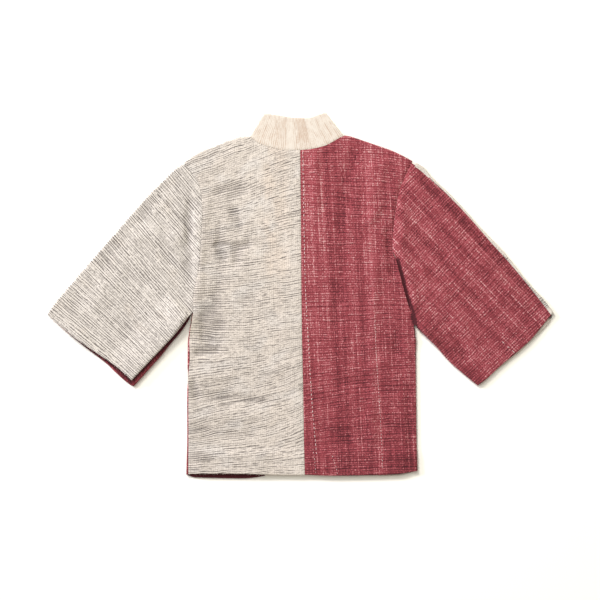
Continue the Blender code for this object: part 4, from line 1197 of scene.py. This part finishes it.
def collar_middle():
    """The middle surface of the folded band, from the left front's hem to the right front's."""
    steps = np.linspace(0, 1, BAND_STEPS + 1)[:, None]
    half_up = (COLLAR_HIGH - BAND / 2) / 2
    seam = aside(join(neck_left, neck_right), GAP)
    top = trace(COLLAR_TOP, len(seam) - 1)
    ends = {}
    for side, row in ((0, BAND_LEFT[0]), (-1, BAND_RIGHT[0])):
        low, high = np.array(row[:2]), np.array(row[2:])
        way = (high - low) / np.hypot(*(high - low))
        out = np.array([-way[1], way[0]]) * (1 if side == 0 else -1)
        inset = out * (half_up + BAND / 2)
        ends[side] = low - inset + way * FOLD_SHIFT, high - inset, out
        seam[side], top[side] = ends[side][:2]
    back = [resting(a + (b - a) * steps, COLLAR_HIGH) for a, b in zip(seam, top)]
    turns = np.linspace(math.pi, 0, TURN_STEPS + 1)[1:-1]
    folded, down = {}, {}
    for side, band, gap in ((0, band_left, GAP), (-1, band_right, -GAP)):
        low, high, out = ends[side]
        flat = low + (high - low) * steps
        folded[side] = [resting(flat, BAND / 2)]
        for t in turns:
            level = BAND / 2 + half_up * (1 + math.cos(t))
            folded[side].append(resting(flat + out * half_up * math.sin(t), level))
        inner = aside(band, gap)[1:]
        down[side] = [resting(a + (b - a) * steps, BAND / 2) for a, b in zip(inner, band[1:, 2:])]
    return np.array(down[0][::-1] + folded[0] + back + folded[-1][::-1] + down[-1])


def ivory_collar():
    """Both layers of the band, with the round fold that joins them."""
    middle = collar_middle()
    normal = Cloth(middle).normals().reshape(middle.shape)
    wall = (BAND - SEAM) / 2
    apart = (wall + SEAM) / 2
    out = unit(middle[:, -1] - middle[:, -2])
    turn_at = middle[:, -1] - out * BAND / 2
    fold = [turn_at + normal[:, -1] * apart * math.sin(t) + out * apart * math.cos(t)
            for t in np.linspace(math.pi / 2, -math.pi / 2, FOLD_STEPS + 1)]
    upper_half = (middle + normal * apart)[:, :-1]
    lower_half = (middle - normal * apart)[:, -2::-1]
    grid = np.concatenate([upper_half, np.stack(fold, axis=1), lower_half], axis=1)
    along = np.r_[0, np.cumsum(strides(middle[:, BAND_STEPS // 2]))]
    round_it = np.r_[0, np.cumsum(strides(grid[len(grid) // 2]))]
    flat = np.dstack(np.meshgrid(round_it, along - along[-1] / 2)[::-1])
    return Cloth(grid, flat).solid("ivory_collar", wall, "band", ivory_cloth)


collar_pieces = {"collar": ivory_collar()}

# %% [markdown]
# ## Stitches and spotted yarns
# A few pale yarns show on the raspberry cloth: a spotted warp that runs beside the centre seam,
# and the small stitches that hold the hems. Each is a row of short rounded floats. Loose fibres
# stand out along the edges, most at the frayed cuff. They could be drawn in the weave, but then
# the outline would stay smooth. Geometry Nodes lay both kinds along a line, because what repeats
# along a path is best made once and instanced.

# %% A node tree that lays a shape along a line
INPUTS = (("Spacing", "Float"), ("Length", "Float"), ("Width", "Float"), ("Uneven", "Float"),
          ("Seed", "Int"), ("Finish", "Material"))


def along_tree(name, shaped, soft):
    """A tree that puts one shape at even places along a line, each of its own length. The function
    says how: it gives the shape, its turn and its size. A soft shape is shaded smooth."""
    tree = bpy.data.node_groups.new(name, "GeometryNodeTree")
    tree.interface.new_socket("Geometry", in_out="INPUT", socket_type="NodeSocketGeometry")
    sizes = {}
    for title, kind in INPUTS:
        socket = tree.interface.new_socket(title, in_out="INPUT", socket_type="NodeSocket" + kind)
        sizes[title] = socket.identifier
    tree.interface.new_socket("Geometry", in_out="OUTPUT", socket_type="NodeSocketGeometry")

    def node(kind, feeds=(), result=0, **settings):
        """Adds a node with these settings and inputs, and gives one of its outputs."""
        made = tree.nodes.new(kind)
        for key, value in settings.items():
            setattr(made, key, value)
        for key, value in dict(feeds).items():
            if isinstance(value, bpy.types.NodeSocket):
                tree.links.new(value, made.inputs[key])
            else:
                made.inputs[key].default_value = value
        return made.outputs[result] if made.outputs else made

    given = {title: node("NodeGroupInput", result=title) for title in ("Geometry", *sizes)}
    line = node("GeometryNodeMeshToCurve", {"Mesh": given["Geometry"]})
    even = node("GeometryNodeResampleCurve", {"Curve": line, "Length": given["Spacing"]}, mode="LENGTH")
    least = node("ShaderNodeMath", {0: 1.0, 1: given["Uneven"]}, operation="SUBTRACT")
    most = node("ShaderNodeMath", {0: 1.0, 1: given["Uneven"]}, operation="ADD")
    factor = node("FunctionNodeRandomValue", {2: least, 3: most, "Seed": given["Seed"]}, 1)
    long = node("ShaderNodeMath", {0: given["Length"], 1: factor}, operation="MULTIPLY")
    shape, turn, size = shaped(node, given, node("GeometryNodeInputTangent"), long)
    laid = node("GeometryNodeInstanceOnPoints",
                {"Points": even, "Instance": shape, "Rotation": turn,
                 "Scale": node("ShaderNodeCombineXYZ", dict(enumerate(size)))})
    real = node("GeometryNodeRealizeInstances", {"Geometry": laid})
    if soft:
        real = node("GeometryNodeSetShadeSmooth", {"Geometry": real})
    dressed = node("GeometryNodeSetMaterial", {"Geometry": real, "Material": given["Finish"]})
    node("NodeGroupOutput", {"Geometry": dressed})
    return tree, sizes


# %% A stitch and a fibre
def stitch(node, given, tangent, long):
    """A rounded float that lies along the line."""
    shape = node("GeometryNodeMeshUVSphere", {"Segments": 6, "Rings": 4, "Radius": 0.5})
    turn = node("FunctionNodeAlignEulerToVector", {"Vector": tangent}, axis="X")
    return shape, turn, (long, given["Width"], given["Width"])


STRAY_LEAST, STRAY_MOST = (-0.8, -0.8, -0.05), (0.8, 0.8, 0.7)   # how far a fibre strays each way


def fibre(node, given, tangent, long):
    """A thin cone that stands out to the left of the line, each its own way."""
    shape = node("GeometryNodeMeshCone",
                 {"Vertices": 3, "Radius Top": 0.1, "Radius Bottom": 0.5, "Depth": 1.0})
    left = node("ShaderNodeVectorMath", {0: (0, 0, 1), 1: tangent}, operation="CROSS_PRODUCT")
    stray = node("FunctionNodeRandomValue", {0: STRAY_LEAST, 1: STRAY_MOST, "Seed": given["Seed"]},
                 data_type="FLOAT_VECTOR")
    way = node("ShaderNodeVectorMath", {0: left, 1: stray}, operation="ADD")
    turn = node("FunctionNodeAlignEulerToVector", {"Vector": way}, axis="Z")
    return shape, turn, (given["Width"], given["Width"], long)


STITCHES = along_tree("stitches_along_a_line", stitch, soft=True)
FIBRES = along_tree("fibres_along_an_edge", fibre, soft=False)
print("nodes in the two trees:", len(STITCHES[0].nodes), "and", len(FIBRES[0].nodes))

# %% Yarn and its finish
def yarn_finish(name, pale, shade):
    """A soft cotton yarn, a little uneven in colour, with its twist as fine relief."""
    made = bpy.data.materials.new(name)
    made.use_nodes = True
    tree = made.node_tree
    shader = tree.nodes["Principled BSDF"]
    place, noise, ramp, bump = (tree.nodes.new("ShaderNode" + kind)
                                for kind in ("TexCoord", "TexNoise", "ValToRGB", "Bump"))
    shader.inputs["Roughness"].default_value = 0.9
    noise.inputs["Scale"].default_value = 320
    set_stops(ramp, ((0.35, shade), (0.62, pale)))
    bump.inputs["Distance"].default_value = 0.0003
    tree.links.new(place.outputs["Object"], noise.inputs["Vector"])
    tree.links.new(noise.outputs[0], ramp.inputs[0])
    tree.links.new(noise.outputs[0], bump.inputs["Height"])
    tree.links.new(ramp.outputs[0], shader.inputs["Base Color"])
    tree.links.new(bump.outputs[0], shader.inputs["Normal"])
    return made


def grow(name, paths, tree, finish, spacing, length, width, seed, uneven=0.35):
    """Runs a node tree along paths of x, y, z and keeps the result as one plain mesh. Sizes in mm."""
    verts, edges = [], []
    for path in paths:
        edges += [(len(verts) + k, len(verts) + k + 1) for k in range(len(path) - 1)]
        verts += ((path + (*TO_ORIGIN, 0)) / 1000).tolist()
    mesh = bpy.data.meshes.new(name + "_line")
    mesh.from_pydata(verts, edges, [])
    line = bpy.data.objects.new(name + "_line", mesh)
    bpy.context.scene.collection.objects.link(line)
    worked = line.modifiers.new("along", "NODES")
    worked.node_group, sizes = tree
    for key, value in (("Spacing", spacing / 1000), ("Length", length / 1000), ("Width", width / 1000),
                       ("Uneven", uneven), ("Seed", seed), ("Finish", finish)):
        worked[sizes[key]] = value
    seen = line.evaluated_get(bpy.context.evaluated_depsgraph_get())
    made = bpy.data.objects.new(name, bpy.data.meshes.new_from_object(seen))
    bpy.context.scene.collection.objects.link(made)
    bpy.data.objects.remove(line, do_unlink=True)
    print(f"{name}: {len(made.data.polygons)} faces")
    return made


pale_yarn = yarn_finish("pale_spotted_yarn", (0.72, 0.59, 0.55), (0.50, 0.29, 0.28))
grey_yarn = yarn_finish("ecru_fibre", (0.84, 0.77, 0.67), (0.64, 0.57, 0.48))
red_yarn = yarn_finish("raspberry_fibre", (0.42, 0.13, 0.15), (0.20, 0.035, 0.045))
print("finishes for yarn:", pale_yarn.name, grey_yarn.name, red_yarn.name)

# %% Yarns that show
OVER_CLOTH = 0.15        # how far a yarn's middle lies over the cloth it runs on


def on_top(rows, steps):
    """A path that lies on the upper layer."""
    return raised_line(trace(rows, steps)) + (0, 0, CLOTH / 2 + OVER_CLOTH)


def at_edge(rows, steps, share, turned=False):
    """A path along an outline, at a share of the upper layer's height, with outward to its left."""
    line = raised_line(trace(rows, steps)[:, :2])
    line[:, 2] = UNDER + (line[:, 2] - UNDER) * share
    return line[::-1] if turned else line


spotted = on_top(((6.5, 330), (9, 186), (12, 37), (19, -101), (28, -250), (38, -360)), 150)
spotted_right = on_top(((172, -58), (176, -150), (184, -262), (190, -392)), 80)
hem_threads = [on_top(((75, -368), (82, -388), (86, -406)), 12),
               on_top(((30, -352), (34, -380), (36, -404)), 14)]
cuff_slub = on_top(((468, -106), (491, -127)), 8)
ecru_edges = [
    at_edge(SLEEVE_LEFT_TOP, 200, 0.5, turned=True),
    at_edge(CUFF_LEFT, 120, 0.9, turned=True),
    at_edge(HEM_LEFT, 120, 0.9, turned=True),
    at_edge(SHOULDER_LEFT, 90, 0.5),
]
red_edges = [
    at_edge(SIDE_RIGHT_OUT, 120, 0.5),
    at_edge(SLEEVE_RIGHT_LOW, 90, 0.5, turned=True),
    at_edge(CUFF_RIGHT, 100, 0.85),
    at_edge(HEM_RIGHT, 100, 0.85, turned=True),
    at_edge(SHOULDER_RIGHT, 90, 0.5),
]
frayed_edges = [at_edge(SLEEVE_RIGHT_TOP, 200, 0.5), at_edge(FRONT_CUFF_RIGHT, 120, 0.28)]
tuft = at_edge(((9, -384), (7, -396), (10, -407)), 20, 0.9, turned=True)
# Each piece: its paths, tree and finish, then spacing, length, width, seed and unevenness
yarn_pieces = [
    grow("spotted_warp", [spotted], STITCHES, pale_yarn, 9.6, 6.0, 2.0, 3),
    grow("spotted_warp_right", [spotted_right], STITCHES, pale_yarn, 7.4, 4.2, 1.1, 5),
    grow("hem_stitches", hem_threads, STITCHES, pale_yarn, 7.0, 4.0, 1.3, 7),
    grow("cuff_slub", [cuff_slub], STITCHES, pale_yarn, 12.0, 8.0, 1.6, 11),
    grow("edge_fuzz", ecru_edges, FIBRES, grey_yarn, 0.8, 3.4, 0.27, 13, 0.7),
    grow("red_edge_fuzz", red_edges, FIBRES, red_yarn, 1.0, 2.4, 0.32, 23, 0.7),
    grow("frayed_edge", frayed_edges, FIBRES, grey_yarn, 1.3, 3.4, 0.26, 17, 0.8),
    grow("hem_tuft", [tuft], FIBRES, grey_yarn, 0.5, 5.0, 0.36, 19, 0.6),
]

# %% [markdown]
# ## Dressing the model
# Each sheet stands for its solid, which is hidden, and rides on the one body.

# %% Ride and replace
pieces = {**back_pieces, **front_pieces, **sleeve_pieces, **collar_pieces}
for node_name, piece in pieces.items():
    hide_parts(node_name)
    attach(piece, "root")
for yarn in yarn_pieces:
    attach(yarn, "root")
print("pieces:", ", ".join(piece.name for piece in pieces.values()))

# %% [markdown]
# ## Floor, light and camera
# The photograph looks straight down on a white ground. Two lamps stand beyond the collar, to the
# left: the smaller one throws the short shadow with a clear edge below the jacket, and the broad
# one fills it softly. A weak low one shines in from the left and leaves a pale shade on the
# right. The ground is a warm white, exposed until it is paper white, and that is why its shadows
# look a little yellow. A long lens keeps the view flat.

# %% Floor
REACH, BELOW = 3.0, 0.0005    # half the floor's width and how far it lies under the jacket, in metres


def white_floor():
    """A plain matt sheet of paper."""
    mesh = bpy.data.meshes.new("floor")
    corners = [(x * REACH, y * REACH, -BELOW) for x, y in ((-1, -1), (1, -1), (1, 1), (-1, 1))]
    mesh.from_pydata(corners, [], [(0, 1, 2, 3)])
    floor = bpy.data.objects.new("floor", mesh)
    bpy.context.scene.collection.objects.link(floor)
    paper = bpy.data.materials.new("white_paper")
    paper.use_nodes = True
    shader = paper.node_tree.nodes["Principled BSDF"]
    shader.inputs["Base Color"].default_value = (0.97, 0.95, 0.88, 1)
    shader.inputs["Roughness"].default_value = 1.0
    shader.inputs["Specular IOR Level"].default_value = 0.0
    mesh.materials.append(paper)
    floor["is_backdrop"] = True
    print(f"the floor is {2 * REACH:.0f} m wide")


white_floor()

# %% Light
ROOM_COLOUR, ROOM_LIGHT = (1.0, 0.93, 0.84), 0.44
LAMPS = (   # name, kind, width in m or degrees, energy, colour, degrees round from X, degrees up, m away
    ("key", "AREA", 1.5, 295, (1.0, 1.01, 0.98), 123, 33, 6.0),
    ("broad", "AREA", 4.2, 138, (1.0, 1.01, 0.98), 118, 55, 6.0),
    ("low_side", "SUN", 8, 1.78, (1.0, 1.01, 1.3), 152, 18, 3.0),
)
scene = bpy.context.scene
scene.view_settings.view_transform = "Standard"
scene.view_settings.look = "None"
room = bpy.data.worlds.new("pale_room")
room.use_nodes = True
room.node_tree.nodes["Background"].inputs["Color"].default_value = (*ROOM_COLOUR, 1)
room.node_tree.nodes["Background"].inputs["Strength"].default_value = ROOM_LIGHT
scene.world = room
for name, kind, wide, energy, colour, from_x, high, far in LAMPS:
    lamp = bpy.data.lights.new(name, kind)
    lamp.energy = energy
    lamp.color = colour
    if kind == "AREA":
        lamp.shape = "DISK"
        lamp.size = wide
    else:
        lamp.angle = math.radians(wide)
    up, round_it = math.radians(high), math.radians(from_x)
    way = Vector((math.cos(up) * math.cos(round_it), math.cos(up) * math.sin(round_it), math.sin(up)))
    stand = bpy.data.objects.new(name, lamp)
    stand.location = way * far
    stand.rotation_euler = way.to_track_quat("Z", "Y").to_euler()
    scene.collection.objects.link(stand)
print("lamps:", ", ".join(row[0] for row in LAMPS))

# %% Camera
PIXEL = 2.3            # millimetres of the jacket to one pixel of the photograph
FRAME_PIXELS = 600     # width of the photograph
VIEW_MIDDLE = (-1.0, -7.65)   # what the middle of the photograph looks at, in millimetres
LENS, SENSOR = 100.0, 36.0    # a long lens, and the width behind it, in millimetres
lens = bpy.data.cameras.new("camera")
lens.lens, lens.sensor_width = LENS, SENSOR
camera = bpy.data.objects.new("camera", lens)
scene.collection.objects.link(camera)
distance = PIXEL * FRAME_PIXELS / 1000 * LENS / SENSOR
camera.location = (VIEW_MIDDLE[0] / 1000, VIEW_MIDDLE[1] / 1000, distance + REST / 1000)
lens.clip_end = 3 * distance
scene.camera = camera
print(f"camera {distance:.2f} m above the cloth")

# %% [markdown]
# ## Finish
# The two boxes are kept so that the dressed jacket can be compared with its solids.

# %% Keep the sizes and finish
visual_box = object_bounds()
grown = 1000 * (np.array(visual_box) - np.array(cad_box))
print("grown by, in mm:", grown.round(1).tolist())
